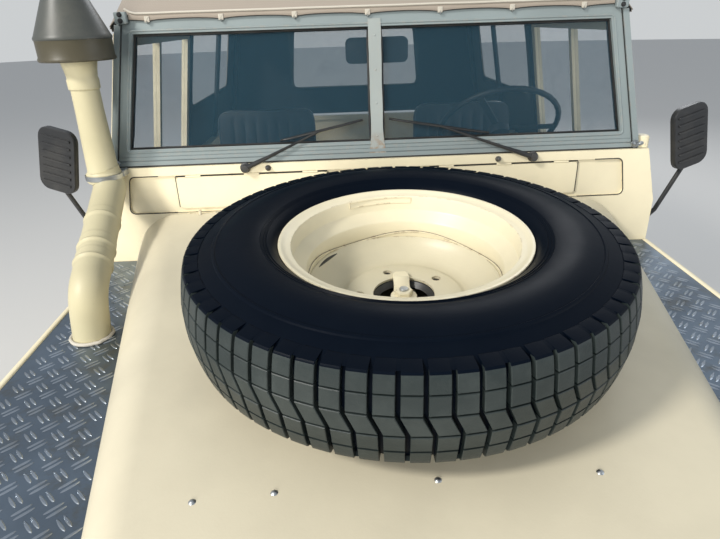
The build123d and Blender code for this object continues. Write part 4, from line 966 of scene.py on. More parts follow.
# The pan is black as painted shade for the dark seen through the bore and the stud holes.
carrier.use(2).turn(PAN, 72)
rows = []
for along, half, rise in STRIP:
    low, high = DISC_TOP + rise, DISC_TOP + rise + STRIP_THICK
    section = [(-half, low), (-half, high - STRIP_EASE), (-half + STRIP_EASE, high)]
    section += [(half - STRIP_EASE, high), (half, high - STRIP_EASE), (half, low)]
    rows.append([(across, along, height) for across, height in section])
carrier.use(3).skin(rows, around=True, ends=True)
carrier.bolt((0, 0, STRIP_TOP), UP, 0.017)
stud = [(0.0, STRIP_TOP + 0.0165), (0.0075, STRIP_TOP + 0.016), (0.0085, STRIP_TOP + 0.0145), (0.0088, 0.010)]
carrier.use(1).turn(stud, 20)
# A black crescent at the rim on one side: painted shade in the gap between the disc and the rim.
GAP_SHADE_STEPS = 12
gap_shade_line = circle(0.1715, GAP_SHADE_STEPS, WHEEL_MIDDLE - 0.0190, 133, 28)
gap_shade_radii = [0.0010 + 0.0028 * math.sin(math.pi * step / GAP_SHADE_STEPS) for step in range(GAP_SHADE_STEPS + 1)]
carrier.use(2).tube(gap_shade_line, gap_shade_radii, 8)
carrier.piece("bonnet", "body_paint", ["spare_carrier"])
pad_low, pad_high = (circle(0.1984, 24, WHEEL_MIDDLE + rise, 80, 38) for rise in (0.0540, 0.0655))
flange_pad = Maker("flange_pad", wheel_paint).at(SPARE_PLACE)
for edge in (pad_low, pad_high, [pad_low[0], pad_high[0]], [pad_low[-1], pad_high[-1]]):
    flange_pad.tube(edge, 0.0011, 6)
flange_pad.piece("bonnet", "wheel_paint")
print("spare wheel clamp and the pad on its flange")

# %% [markdown]
# ## Bonnet
# One sheet, flat across and widening to the rear, whose shoulders open from a small radius at the front
# to a large one at the scuttle. It is laid out as cross-sections with a rolled front edge and a
# thickness, and keeps its two hinge arms, four screws and a small peg near the scuttle.

# %% Bonnet sheet
SHEET = 0.004
ROLL_FRONT = BONNET_FRONT + 0.003  # the sheet's edge rolls over in front of this
ROLL_LENGTH = BONNET_BACK - BONNET_FRONT - 0.005
SCREWS = [(-0.324, -1.536), (-0.215, -1.528), (0.009, -1.521), (0.234, -1.522)]


def bonnet_row(y, inset):
    share = (y - BONNET_FRONT) / (BONNET_BACK - BONNET_FRONT)
    corner = 0.070 + 0.070 * share - inset
    half = bonnet_half(y) - inset
    top_z = bonnet_z(y) - inset
    foot = wing_z(y) + 0.008
    flat = half - corner
    points = [(-half, y, foot), (-half, y, (foot + top_z - corner) / 2)]
    points += [(x - flat, y, z + top_z - corner) for x, z, _ in circle(corner, 12, 0.0, 180, -90)]
    points += [(-flat + 2 * flat * step / 12, y, top_z) for step in range(1, 12)]
    return points + [(-x, y_, z) for x, y_, z in reversed(points[:15])]


bonnet = Maker("bonnet_sheet", bonnet_paint, zinc)
outer = [bonnet_row(BONNET_FRONT + 0.0015, 0.0035), bonnet_row(BONNET_FRONT + 0.0005, 0.0015)]
outer += [bonnet_row(ROLL_FRONT + ROLL_LENGTH * i / 24, 0.0) for i in range(25)]
outer += [bonnet_row(BONNET_BACK - 0.0005, 0.0015)]
inner = [bonnet_row(ROLL_FRONT + ROLL_LENGTH * i / 12, SHEET) for i in range(13)]
for rows in (outer, inner, [outer[0], inner[0]], [outer[-1], inner[-1]]):
    bonnet.skin(rows)
for edge in (0, -1):
    outer_edge = [row[edge] for row in outer[:: len(outer) // 6]] + [outer[-1][edge]]
    inner_edge = [row[edge] for row in inner[:: len(inner) // 6]] + [inner[-1][edge]]
    bonnet.skin([pair[:8] for pair in (outer_edge, inner_edge)])
for x in mirrored(0.530):
    wide, arm_front, pin_y = about(x, 0.030), BONNET_BACK - 0.040, -0.512
    bonnet.bar(wide, (arm_front, pin_y), (1.213, 1.231), 0.002)
    bonnet.bar(wide, (arm_front, BONNET_BACK - 0.008), (1.222, bonnet_z(-0.57) - 0.003), 0.002)
    bonnet.tube([(end, pin_y, 1.222) for end in wide], 0.010, 20)
for x, y in SCREWS:
    bonnet.use(1).rivet((x, y, bonnet_z(y)), (0, -math.sin(BONNET_SLOPE), math.cos(BONNET_SLOPE)), 0.0055)
peg_z = bonnet_z(-0.54)
bonnet.use(0).tube([(-0.524, -0.540, peg_z - 0.002), (-0.524, -0.540, peg_z + 0.014)], 0.0045, 12)
bonnet.piece("bonnet", "body_paint", ["bonnet"], 40)
print("bonnet sheet")

# %% [markdown]
# ## Chequer plate
# The plates on the wings are rolled with pairs of short raised bars, each pair turned a quarter from its
# neighbours. A loop over the grid lays them, and leaves out any that would cross the plate's edge. A
# painted lip stands along the plate's outer edge.

# %% Raised bars
CHEQUER_PITCH, CHEQUER_COLUMNS, CHEQUER_ROWS = 0.049, range(-2, 12), range(26)
BAR_HALF, BAR_WIDE, BAR_HIGH, BAR_LANE = 0.0165, 0.0033, 0.0013, 0.0052
PLATE_FRONT, PLATE_BACK, PLATE_MARGIN = BONNET_FRONT + 0.014, BONNET_BACK + 0.022, 0.004
LIP = [
    # X and rise above the wing of the painted lip along the plate's outer edge
    (HALF - 0.0150, 0.0010),
    (HALF - 0.0140, 0.0052),
    (HALF - 0.0110, 0.0068),
    (HALF - 0.0030, 0.0068),
    (HALF - 0.0003, 0.0040),
    (HALF - 0.0003, -0.0100),
]


def on_plate(place):
    across = bonnet_half(place.y) + 0.005 + PLATE_MARGIN < abs(place.x) < HALF - 0.014 - PLATE_MARGIN
    return across and PLATE_FRONT + PLATE_MARGIN < place.y < PLATE_BACK - PLATE_MARGIN


def chequer_bar(middle, along, aside):
    """One bar with sloping sides, whose plan is an ellipse."""
    base = wing_z(middle.y) + 0.0033
    outline, ridge = [], []
    for x, y, _ in circle(1, 10):
        lengthways, sideways = along * BAR_HALF * x, aside * BAR_WIDE * y
        outline.append((*(middle + lengthways + sideways), base - 0.0002))
        ridge.append((*(middle + lengthways * 0.86 + sideways * 0.45), base + BAR_HIGH))
    chequer.skin([outline, ridge], around=True)
    chequer.add(ridge, [tuple(range(10))])


# The bars' paler metal is a painted glint.
chequer = Maker("chequer_bars", glinting_bar_metal, body_paint)
bar_count = 0
for side, column, row, (half_step, angle) in itertools.product(
    SIDES, CHEQUER_COLUMNS, CHEQUER_ROWS, ((0, math.radians(-45)), (1, math.radians(45)))
):
    x = side * (0.447 + CHEQUER_PITCH * (column + half_step / 2))
    y = -1.669 + CHEQUER_PITCH * (row + half_step / 2)
    along = Vector((math.cos(angle), math.sin(angle)))
    aside = Vector((-along.y, along.x))
    for lane in SIDES:
        middle = Vector((x, y)) + aside * BAR_LANE * lane
        if on_plate(middle + along * BAR_HALF) and on_plate(middle - along * BAR_HALF):
            chequer_bar(middle, along, aside)
            bar_count += 1
for side in SIDES:
    lip = []
    for step in range(13):
        y = BONNET_FRONT + 0.012 + (BONNET_BACK - BONNET_FRONT + 0.005) * step / 12
        lip.append([(side * x, y, wing_z(y) + rise) for x, rise in LIP])
    chequer.use(1).skin(lip, around=True, ends=True)
chequer.piece("body", "chequer_plate", crease=60)
print(bar_count, "raised bars")

# %% [markdown]
# ## Raised air intake
# The intake leaves the wing through a short elbow, leans back along the bonnet, and climbs the
# windscreen post. Its three pressed lengths overlap at swaged joints, shown as rings on the swept tube.
# A strap holds the upright to the post, and the foot is bedded in a ragged bead of sealant. The rain cap
# is a drum with a rolled bottom edge under a cone.

# %% Intake pipe and cap
INTAKE_FOOT = Vector((-0.714, -0.937, wing_z(-0.894) + 0.0036))
INTAKE_HEAD = Vector((-0.769, -0.551, 1.340))
CAP_Z, PIPE_RADIUS = 1.668, 0.043
JOINTS = (0.190, 0.246, 0.350)  # along the pipe
UPRIGHT = [
    # radius, height
    (0.0440, 1.352), (0.0462, 1.356), (0.0462, 1.376), (0.0430, 1.380), (0.0405, 1.384),
    (0.0385, 1.460), (0.0360, 1.540), (0.0352, 1.596), (0.0392, 1.600), (0.0395, 1.622),
    (0.0375, 1.627), (0.0400, 1.645), (0.0450, 1.6675),
]
CAP_BAND = [
    # radius, height above the cap's lower edge
    (0.044, 0.006), (0.084, 0.004), (0.090, 0.0), (0.093, 0.003), (0.0925, 0.008),
    (0.0905, 0.011), (0.0905, 0.050),
]
CAP_CONE = [
    # radius, height above the cap's lower edge
    (0.0905, 0.050), (0.0925, 0.052), (0.0922, 0.057), (0.0895, 0.061), (0.0560, 0.138),
    (0.0470, 0.155),
]
intake = Maker("intake_tube", intake_paint, seal_rubber, zinc, piping_cloth)
elbow = INTAKE_FOOT + Vector((0.014, 0.0, 0.112))
upper_elbow = INTAKE_HEAD + Vector((0.010, 0.0, -0.004))
route = rounded([INTAKE_FOOT, elbow, upper_elbow, INTAKE_HEAD + Vector((0, 0, 0.045))], 0.062, 12)
run, radii, gone = [], [], 0.0
previous = route[0]
for stretch_start, stretch_end in zip(route, route[1:]):
    count = max(1, int((stretch_end - stretch_start).length / 0.004))
    for step in range(count):
        point = stretch_start.lerp(stretch_end, step / count)
        gone += (point - previous).length
        previous = point
        swell = max(0.0, 1 - min(abs(gone - joint) for joint in JOINTS) / 0.006)
        socket = 0.0012 if any(joint < gone < joint + 0.03 for joint in JOINTS) else 0.0
        run.append(point)
        radii.append(PIPE_RADIUS - 0.0008 + socket + 0.0028 * math.sqrt(swell))
intake.tube([*run, route[-1]], [*radii, PIPE_RADIUS], 40)
intake.at(Matrix.Translation((INTAKE_HEAD.x, INTAKE_HEAD.y, 0))).turn(UPRIGHT, 48)
intake.use(2).turn([(0.0480, 1.360), (0.0492, 1.361), (0.0492, 1.373), (0.0480, 1.374)], 40)
strap_y = (INTAKE_HEAD.y + 0.012, BULKHEAD_Y - 0.0003)
intake.at(Matrix()).bar((INTAKE_HEAD.x + 0.028, INTAKE_HEAD.x + 0.050), strap_y, (1.358, 1.376), 0.002)
intake.bolt((INTAKE_HEAD.x + 0.040, INTAKE_HEAD.y + 0.014, 1.367), (0.3, -1, 0), 0.006)
bead = []
for x, y, _ in circle(1, 64):
    reach = PIPE_RADIUS + 0.0025 + 0.0035 * abs(noise.noise(Vector((x, y, 1)) * 3.2))
    bead.append(INTAKE_FOOT + Vector((reach * x, reach * y, 0.0022)))
intake.use(3).tube(bead, 0.0042, 8, closed=True)
intake.piece("body", "intake_paint", ["snorkel_pipe"])

cap = Maker("rain_cap", band_paint, cap_paint, seal_rubber)
cap_middle = Matrix.Translation((INTAKE_HEAD.x, INTAKE_HEAD.y, CAP_Z))
cap.at(cap_middle).turn(CAP_BAND, 64)
cap.use(1).turn(CAP_CONE, 64)
cap.turn([(0.0470, 0.155), (0.0440, 0.160), (0.0330, 0.165), (0.0180, 0.169), (0.0, 0.169)], 48)
cap.use(2)
for step, slot in enumerate(circle(0.066, 18, 0.0045)):
    cap.at(aim(cap_middle @ Vector(slot), (0, 0, -1)) @ Matrix.Rotation(math.radians(-20 * step), 4, "Z"))
    cap.bar(about(0, 0.013), about(0, 0.0035), (0.0, 0.0016), 0.0005)
cap.piece("body", "cap_paint", ["snorkel_cap"])
print("intake with", len(JOINTS), "joints and its cap")

# %% [markdown]
# ## Windscreen trim
# Each pane sits in a black rubber channel. The middle post widens at its foot, where rust has bled, and
# grey brackets hold the hood at the top corners. The two vent flaps under the screen close on dark
# rubber.

# %% Rubber round the panes and the flaps
SCREEN_FOOT = Vector((0, BULKHEAD_Y + SCREEN_SET, SCREEN_Z + 0.0003))
UP_SCREEN = Vector((0, math.sin(SCREEN_RAKE), math.cos(SCREEN_RAKE)))
OFF_SCREEN = Vector((0, -math.cos(SCREEN_RAKE), math.sin(SCREEN_RAKE)))
SCREEN_TALL, POST, FRAME_FACE = 0.398, 0.049, 0.017
PANE_LOW, PANE_HIGH, PANE_IN = 0.046, SCREEN_TALL - 0.044, 0.017
CHANNEL, CHANNEL_STEPS = 0.0025, 8
POST_FOOT, POST_HEAD, LIP_WIDE = 0.004, SCREEN_TALL - 0.020, 0.0165


def on_screen(x, v, off):
    """A point of the windscreen's plane: across, up the slope, and off it to the front."""
    return SCREEN_FOOT + Vector((x, 0, 0)) + UP_SCREEN * v + OFF_SCREEN * off


def screen_half(v):
    return 0.770 - math.tan(LEAN) * v


SCREEN_TURN = Matrix(((1, 0, 0), UP_SCREEN, OFF_SCREEN)).transposed().to_4x4()
SCREEN_FRAME = Matrix.Translation(SCREEN_FOOT) @ SCREEN_TURN
trim = Maker("screen_trim", seal_rubber, screen_paint, zinc, post_paint)
for side in SIDES:
    ends = [(PANE_IN, PANE_LOW), (screen_half(PANE_LOW) - POST, PANE_LOW)]
    ends += [(screen_half(PANE_HIGH) - POST, PANE_HIGH), (PANE_IN, PANE_HIGH)]
    for off in (0.0048, -0.0048):
        loop = []
        for (x0, v0), (x1, v1) in zip(ends, ends[1:] + ends[:1]):
            for step in range(CHANNEL_STEPS):
                x, v = x0 + (x1 - x0) * step / CHANNEL_STEPS, v0 + (v1 - v0) * step / CHANNEL_STEPS
                x += CHANNEL if x < 0.35 else -CHANNEL
                loop.append(on_screen(side * x, v + (CHANNEL if v < 0.2 else -CHANNEL), off))
        trim.tube(loop, 0.0036, 6, closed=True)
trim.use(1)
for side in SIDES:
    ends = [(screen_half(PANE_LOW) - POST + 0.008, PANE_LOW - 0.008)]
    ends += [(screen_half(PANE_HIGH) - POST + 0.008, PANE_HIGH + 0.008)]
    ends += [(0.008, PANE_HIGH + 0.008), (0.008, PANE_LOW - 0.008)]
    edge = [on_screen(side * x, v, FRAME_FACE) for x, v in ends]
    middle = edge[0].lerp(edge[1], 0.5)
    trim.tube(rounded([middle, *edge[1:], edge[0], middle], 0.012, 4), 0.0030, 8)

# A folded lip along the outer edge of each post, with a dark joint inside it.
trim.at(SCREEN_FRAME)
for side in SIDES:
    outline = []
    for v, inset in ((POST_FOOT, 0.0), (POST_HEAD, 0.0), (POST_HEAD, LIP_WIDE), (POST_FOOT, LIP_WIDE)):
        outline.append((side * (screen_half(v) - inset), v))
    trim.use(1).prism(outline, FRAME_FACE, FRAME_FACE + 0.0055, 0.0016)
    joint = [(side * (screen_half(v) - LIP_WIDE - 0.0016), v, FRAME_FACE) for v in (POST_FOOT, POST_HEAD)]
    trim.use(0).tube(joint, 0.0017, 6)

# Two ledges along the bottom rail and a rubber strip on the scuttle.
for v0, v1, high_off in ((0.0005, 0.0120, 0.0060), (0.0150, 0.0235, 0.0035), (0.0262, 0.0330, 0.0020)):
    wide = about(0, screen_half(v0) - 0.022)
    trim.use(1).bar(wide, (v0, v1), (FRAME_FACE, FRAME_FACE + high_off), 0.0012)
trim.use(0).tube([(x, -0.0015, FRAME_FACE + 0.004) for x in about(0, 0.764)], 0.0022, 8)

# The middle post's cover strip, beaten a little out of line and spread at its foot.
cover = []
for side in mirrored(1):
    for step in range(17):
        v = 0.010 + (SCREEN_TALL - 0.034) * (step / 16 if side > 0 else 1 - step / 16)
        spread = 0.0075 * max(0.0, 1 - (v - 0.010) / 0.055)
        wave = 0.0016 * noise.noise(Vector((side * 3.0, v * 22.0, 0.4)))
        cover.append((side * (0.0175 + spread) + wave, v))
trim.use(3).prism(cover, FRAME_FACE, FRAME_FACE + 0.0030, 0.0010)
for v in (0.060, 0.150, 0.240, 0.330):
    trim.rivet((0, v, FRAME_FACE + 0.0030), UP, 0.0032)
trim.piece("body", "screen_paint")

# At each end, a pillar cap with a rivet, a wing bolt at the foot of the post, and a bracket for the hood.
CAP_LIMITS = (0.7745, 0.8085), (-0.4800, -0.4360), (1.2600, 1.4040)
BRACKET_LIMITS = (0.6660, 0.6990), (-0.4420, -0.4260), (1.7500, 1.7800)
WING_BOLT_X, WING_BOLT_Z = 0.7560, 1.3850
corners = Maker("screen_corners", body_paint, zinc, screen_paint, black_plastic)
for side in SIDES:
    across, along, tall = CAP_LIMITS
    corners.use(0).bar(span(side, *across), along, tall, 0.004, 0.0130)
    corners.rivet((side * 0.7915, along[0], 1.3800), FORTH, 0.0035)
    bolt_x = side * WING_BOLT_X
    corners.use(1).bolt((bolt_x, -0.4920, WING_BOLT_Z), (0, -1, 0.1), 0.0080)
    corners.tube([(bolt_x, -0.4860, WING_BOLT_Z), (bolt_x, -0.5080, WING_BOLT_Z + 0.001)], 0.0045, 12)
    for wing in SIDES:
        root = Vector((bolt_x + wing * 0.0060, -0.5020, WING_BOLT_Z + 0.0005))
        ear = root + Vector((wing * 0.0110, -0.0040, 0.0060))
        corners.tube([root, root.lerp(ear, 0.6), ear], [0.0050, 0.0058, 0.0035], 10)
    across, along, tall = BRACKET_LIMITS
    corners.use(2).bar(span(side, *across), along, tall, 0.0025)
    corners.use(3)
    for z in (1.7580, 1.7730):
        corners.bolt((side * 0.6830, along[0] - 0.0002, z), FORTH, 0.0048)
corners.piece("body", "screen_paint")

# The vent flaps close into the recess: only their top edges and the recess's round ends show dark.
seals = Maker("flap_seals", seal_rubber, body_paint)
RECESS_Y, RECESS_LOW, RECESS_HIGH = BULKHEAD_Y + 0.0005, 1.2345, 1.3455
FLAP_LOW, FLAP_HIGH = 1.2500, 1.3425
for side in SIDES:
    ends = [(0.640, RECESS_HIGH), (0.7215, RECESS_HIGH), (0.7415, RECESS_LOW), (0.600, RECESS_LOW)]
    line = rounded([(side * x, RECESS_Y, z) for x, z in ends], 0.018, 6)
    seals.use(0).tube(line, 0.0017, 6)
    seals.tube([(side * x, RECESS_Y, RECESS_LOW) for x in (0.600, 0)], 0.0009, 6)
    seals.tube([(side * x, BULKHEAD_Y + 0.0030, FLAP_HIGH) for x in (0.150, 0.590)], 0.0020, 6)
    for x in (0.148, 0.592):
        seals.tube([(side * x, BULKHEAD_Y + 0.0040, z) for z in (FLAP_LOW, FLAP_HIGH - 0.0025)], 0.0013, 6)
    for x in (0.200, 0.370, 0.540):
        hinge = [(end, BULKHEAD_Y + 0.0035, FLAP_HIGH - 0.001) for end in about(side * x, 0.022)]
        seals.use(1).tube(hinge, 0.0036, 10)
seals.piece("body", "body_paint")
print("screen trim, corner pieces and flap joints")

# %% [markdown]
# ## Wipers
# Each wiper has a domed metal spindle on the scuttle, a sprung arm that tapers towards its blade, and a
# blade held by a long bow over two short ones. A small metal washer jet stands beside each spindle.

# %% Wiper arms and blades
PIVOT_Z, HEEL_Z, TIP_Z, JET_Z = 1.362, 1.429, 1.478, 1.358
SCUTTLE_FACE = BULKHEAD_Y - 0.0003
SPINDLE = [(0.0150, 0.0), (0.0148, 0.004), (0.0120, 0.006), (0.0120, 0.016), (0.0100, 0.020), (0.0, 0.0215)]
JET = [(0.0085, 0.0), (0.0080, 0.006), (0.0045, 0.010), (0.0040, 0.016), (0.0, 0.018)]
WIPERS = [
    # X of the pivot, of the blade's tip and of the washer jet
    (-0.385, -0.040, -0.320),
    (0.452, 0.036, 0.351),
]
BOWS = [
    # where a bow starts and ends along the blade, and how far it stands off
    (0.12, 0.88, 0.009),
    (0.04, 0.34, 0.006),
    (0.66, 0.96, 0.006),
]
wipers = Maker("wiper_arms", black_plastic, seal_rubber, cast_metal)
for pivot_x, tip_x, jet_x in WIPERS:
    wipers.use(2).at(aim((pivot_x, SCUTTLE_FACE, PIVOT_Z), FORTH)).turn(SPINDLE, 24)
    heel_x = tip_x + (pivot_x - tip_x) * 0.7
    heel = Vector((heel_x, glass_y(HEEL_Z, 0.006), HEEL_Z))
    tip = Vector((tip_x, glass_y(TIP_Z, 0.006), TIP_Z))
    middle = (heel + tip) / 2 + Vector((0, -0.012, 0.002))
    pivot = Vector((pivot_x, BULKHEAD_Y - 0.014, PIVOT_Z))
    knee = pivot.lerp(middle, 0.32) + Vector((0, -0.004, 0))
    arm = [pivot, pivot.lerp(knee, 0.5), knee, knee.lerp(middle, 0.5), middle]
    wipers.use(0).at(Matrix()).tube(arm, [0.0075, 0.0068, 0.0050, 0.0034, 0.0030], 8)
    wipers.tube([knee, knee + Vector((0, -0.004, 0.001)), middle], 0.0016, 6)
    for start, end, lift in BOWS:
        a, b = heel.lerp(tip, start), heel.lerp(tip, end)
        bow = ((0, 0.002), (0.15, lift), (0.5, lift + 0.002), (0.85, lift), (1, 0.002))
        wipers.tube([a.lerp(b, share) - Vector((0, off, 0)) for share, off in bow], 0.0026, 8)
    wipers.use(1).tube([heel, tip], 0.0032, 8)
    wipers.use(2).at(aim((jet_x, SCUTTLE_FACE, JET_Z), (0, -1, 0.25))).turn(JET, 16)
wipers.piece("body", "black_plastic", ["wipers"])
print(len(WIPERS), "wipers")

# %% [markdown]
# ## Door mirrors
# Square-shouldered black heads on bent arms. The back of each head is ribbed, the arm ends in a clamp,
# and the glass faces the driver.

# %% Mirror heads and arms
FOOT_Y, FOOT_Z = (-0.486, -0.446), (1.120, 1.180)
ARM = [(0.8463, -0.468, 1.150), (0.866, -0.470, 1.172), (0.944, -0.480, 1.362)]
CLAMP = [(0.937, -0.479, 1.343), (0.944, -0.480, 1.362), (0.944, -0.484, 1.380)]
HEAD = Matrix.Translation((0.912, -0.496, 1.402)) @ Matrix.Rotation(math.radians(14), 4, "Z")
HEAD = HEAD @ Matrix.Rotation(math.radians(-14), 4, "Y") @ Matrix.Rotation(math.radians(90), 4, "X")
mirrors = Maker("mirror_pair", black_plastic, cast_metal, mirror_face)
for side in SIDES:
    flip = Matrix.Scale(side, 4, (1, 0, 0))
    mirrors.use(1).at(flip).bar((HALF + 0.0003, HALF + 0.008), FOOT_Y, FOOT_Z, 0.002)
    mirrors.use(0).tube(rounded(ARM, 0.012, 5), 0.0068, 14)
    mirrors.use(1).tube(CLAMP, [0.011, 0.0155, 0.012], 16)
    mirrors.use(0).at(flip @ HEAD)
    mirrors.bar(about(0, 0.0570), about(0, 0.0920), (-0.0115, 0.0080), 0.0025, 0.030)
    for rib in range(-3, 4):
        mirrors.bar(about(0, 0.0440), about(rib * 0.022, 0.003), (0.0075, 0.0118), 0.0012)
    mirrors.use(2).bar(about(0, 0.0520), about(0, 0.0870), (-0.0120, -0.0112), 0.0002, 0.026)
mirrors.piece("body", "black_plastic", ["mirrors"])
print("two mirrors")

# %% [markdown]
# ## Canvas hood
# One skin of cloth runs down one side, over the roof and down the other, and turns into the rear
# curtain. It is laid as cross-sections from the windscreen to the rear: between the hoops the cloth sags
# a little and wrinkles, and its sides hang to the tub. The openings for the doors and windows are left
# out of the grid, so every window edge falls on a row or a column.

# %% The cloth
HOOD_BASE, HEM_Z = HALF + 0.0043, 1.125
STATIONS = [
    # y, height of the crown, height of the roof's edge, how far the sides are tucked in
    (-0.4240, 1.774, 1.771, 0.016),
    (-0.230, 1.950, 1.888, 0.008),
    (0.440, 1.968, 1.905, 0.0),
    (1.7443, 1.955, 1.892, 0.0),
]
HOOPS_Y = (-0.230, 0.440, 0.470, 1.090, 1.712)
HOOKS, HOOK_PITCH, FIRST_HOOK = 7, 0.190, 0.520
TUB_HOLD = (1.185, 1.300)  # the tub holds the cloth flat below the first and not at all above the second
SCREEN_EDGE_Y, DOOR_BACK_Y, DOOR_TOP_Z = -0.386, 0.447, WAIST_Z + 0.570
WINDOW_Y, WINDOW_Z = (0.620, 1.520), (1.390, 1.715)
REAR_WINDOW_X, REAR_WINDOW_Z = (-0.420, 0.420), (1.340, 1.705)
CURTAIN_Y, CURTAIN_HALF, GATE_HALF = 1.7435, 0.84, 0.463
SIDE_LEVELS = [HEM_Z, 1.165, 1.24, 1.32, 1.390, 1.45, 1.51, 1.57, 1.63, 1.69, 1.715, 1.76, 1.80]
ROWS_Y = [-0.424, -0.405, SCREEN_EDGE_Y, -0.35, -0.31, -0.27, -0.23, -0.16, -0.08, 0.0, 0.08, 0.16, 0.24]
ROWS_Y += [0.32, 0.38, DOOR_BACK_Y, 0.50, 0.56, 0.62, 0.69, 0.76, 0.83, 0.90, 0.97, 1.04, 1.09, 1.14, 1.21]
ROWS_Y += [1.28, 1.35, 1.43, 1.52, 1.59, 1.65, 1.70, 1.7415]
CURTAIN_LEVELS = [HEM_Z, 1.172, 1.24, 1.30, 1.340, 1.40, 1.46, 1.52, 1.58, 1.64, 1.705, 1.76, 1.80, 1.85]
CURTAIN_COLUMNS = [-CURTAIN_HALF, -0.74, -0.65, -0.56, -GATE_HALF, -0.420, -0.34, -0.25, -0.16, -0.08]
CURTAIN_COLUMNS += [0.0] + [-x for x in reversed(CURTAIN_COLUMNS)]


def hood_station(y):
    for (y0, *front), (y1, *rear) in zip(STATIONS, STATIONS[1:]):
        if y <= y1:
            return [a + (b - a) * part_way(y, y0, y1) for a, b in zip(front, rear)]


def hood_side(z):
    """Half the hood's width at a height."""
    return HOOD_BASE - math.tan(LEAN) * max(z - WAIST_Z, 0)


def slack(y):
    """How far the cloth may sag: nothing on a hoop and most half-way between two."""
    for a, b in zip(HOOPS_Y, HOOPS_Y[1:]):
        if a <= y <= b:
            return math.sin(math.pi * (y - a) / (b - a)) * min(1.0, (b - a) / 0.5)
    return 0.0


def clear_of_tub(z):
    """0 where the cloth lies against the tub, rising to 1 above it."""
    return part_way(z, *TUB_HOLD)


def hood_row(y):
    """X and Z of a cross-section, from the hem on the right over the roof to the hem on the left."""
    crown, edge, tuck = hood_station(y)
    corner_z = edge - 0.070
    side = hood_side(corner_z) - tuck
    reach = side - 0.056
    points = []
    for level in SIDE_LEVELS:
        z = min(level, corner_z - 0.002 * (SIDE_LEVELS[-1] - level))
        points.append((tuck - hood_side(z), z))
    points.append((-side, corner_z))
    for step in range(1, 6):
        t = step / 5
        x = (1 - t) ** 2 * side + 2 * t * (1 - t) * (side - 0.004) + t * t * reach
        points.append((-x, (1 - t) ** 2 * corner_z + 2 * t * (1 - t) * (edge - 0.012) + t * t * edge))
    for step in range(1, 13):
        x = reach * (1 - step / 12)
        points.append((-x, edge + (crown - edge) * (1 - (x / reach) ** 2)))
    return points + [(-x, z) for x, z in reversed(points[:-1])]


def wrinkled(x, y, z, outward):
    """Small folds, deepest where the cloth is slack, always drawn inwards, and none against the tub."""
    place = Vector((x * 3.0, y * 5.5, z * 4.0))
    fold = abs(noise.noise(place)) * 0.6 + abs(noise.noise(place * 3.1)) * 0.25
    loose_hem = z < 1.15 and y > 0.46
    hem_wave = 0.0030 * math.sin(math.pi * (y - FIRST_HOOK) / HOOK_PITCH) ** 2 * loose_hem
    return Vector((x, y, z)) + outward * (hem_wave - fold * 0.007 * (0.35 + slack(y)) * clear_of_tub(z))


def sagging_row(y):
    """A cross-section with its folds and its sag, as points."""
    section = hood_row(y)
    row = []
    for index, (x, z) in enumerate(section):
        before, after = section[max(index - 1, 0)], section[min(index + 1, len(section) - 1)]
        outward = Vector((before[1] - after[1], 0, after[0] - before[0])).normalized()
        sag = slack(y) * 0.009 * (1 if z > 1.80 else 0.25) * clear_of_tub(z)
        row.append(wrinkled(x, y, z, outward) - outward * sag)
    return row


def opening(place):
    """Whether a place lies in the opening of a door, the windscreen or a side window."""
    over_door = place.y < DOOR_BACK_Y and place.z < DOOR_TOP_Z and abs(place.x) > 0.60
    before_screen = place.y < SCREEN_EDGE_Y and place.z < 1.748
    in_window = WINDOW_Y[0] < place.y < WINDOW_Y[1] and WINDOW_Z[0] < place.z < WINDOW_Z[1]
    return over_door or before_screen or (in_window and abs(place.x) > 0.6)


cloth = Maker("hood_cloth", hood_canvas, hood_inside_shade)
grid = [sagging_row(y) for y in ROWS_Y]
points = [point for row in grid for point in row]
faces = []
for cell in grid_cells(len(grid), len(grid[0])):
    if not opening(sum((points[i] for i in cell), Vector()) / 4):
        faces.append(cell)
cloth.add(points, faces)

# The rear curtain: rows from the hem up to the roof's rear edge, cut away for its window and the tailgate.
roof_end = grid[-1]
edge_z = hood_station(ROWS_Y[-1])[1]


def curtain_point(x, level):
    """A point of the curtain, kept inside the hood's own outline at that height."""
    half = hood_side(level)
    if level >= edge_z - 0.07:
        half -= 0.05 * ((level - edge_z + 0.07) / 0.07) ** 2
    fold = 0.004 * abs(noise.noise(Vector((x * 5, 3.0, level * 6)))) * clear_of_tub(level)
    return Vector((x / CURTAIN_HALF * half, CURTAIN_Y - fold, level))


def roof_point(x):
    """The point of the roof's rear edge above a column of the curtain."""
    x = x / CURTAIN_HALF * hood_side(edge_z)
    pairs = [pair for pair in zip(roof_end, roof_end[1:]) if pair[0].z > 1.8]
    a, b = min(pairs, key=lambda pair: abs((pair[0].x + pair[1].x) / 2 - x))
    return a.lerp(b, 0 if a.x == b.x else part_way(x, a.x, b.x))


curtain = [[curtain_point(x, level) for x in CURTAIN_COLUMNS] for level in CURTAIN_LEVELS]
curtain.append([roof_point(x) for x in CURTAIN_COLUMNS])
wide = len(CURTAIN_COLUMNS)
faces = []
for cell in grid_cells(len(curtain), wide):
    r, c = divmod(cell[0], wide)
    x = abs(CURTAIN_COLUMNS[c] + CURTAIN_COLUMNS[c + 1]) / 2
    z = (curtain[r][0].z + curtain[r + 1][0].z) / 2
    in_window = x < REAR_WINDOW_X[1] and REAR_WINDOW_Z[0] < z < REAR_WINDOW_Z[1]
    if not (in_window or (x < GATE_HALF and z < 1.17)):
        faces.append(cell)
cloth.add([point for row in curtain for point in row], faces)
bmesh.ops.remove_doubles(cloth.mesh, verts=cloth.mesh.verts[:], dist=0.004)
loose = [v for v in cloth.mesh.verts if not v.link_faces]
bmesh.ops.delete(cloth.mesh, geom=loose, context="VERTS")
hood = cloth.piece("body", "canvas", ["canvas_hood"], 75)
smooth = hood.modifiers.new("smooth", "SUBSURF")
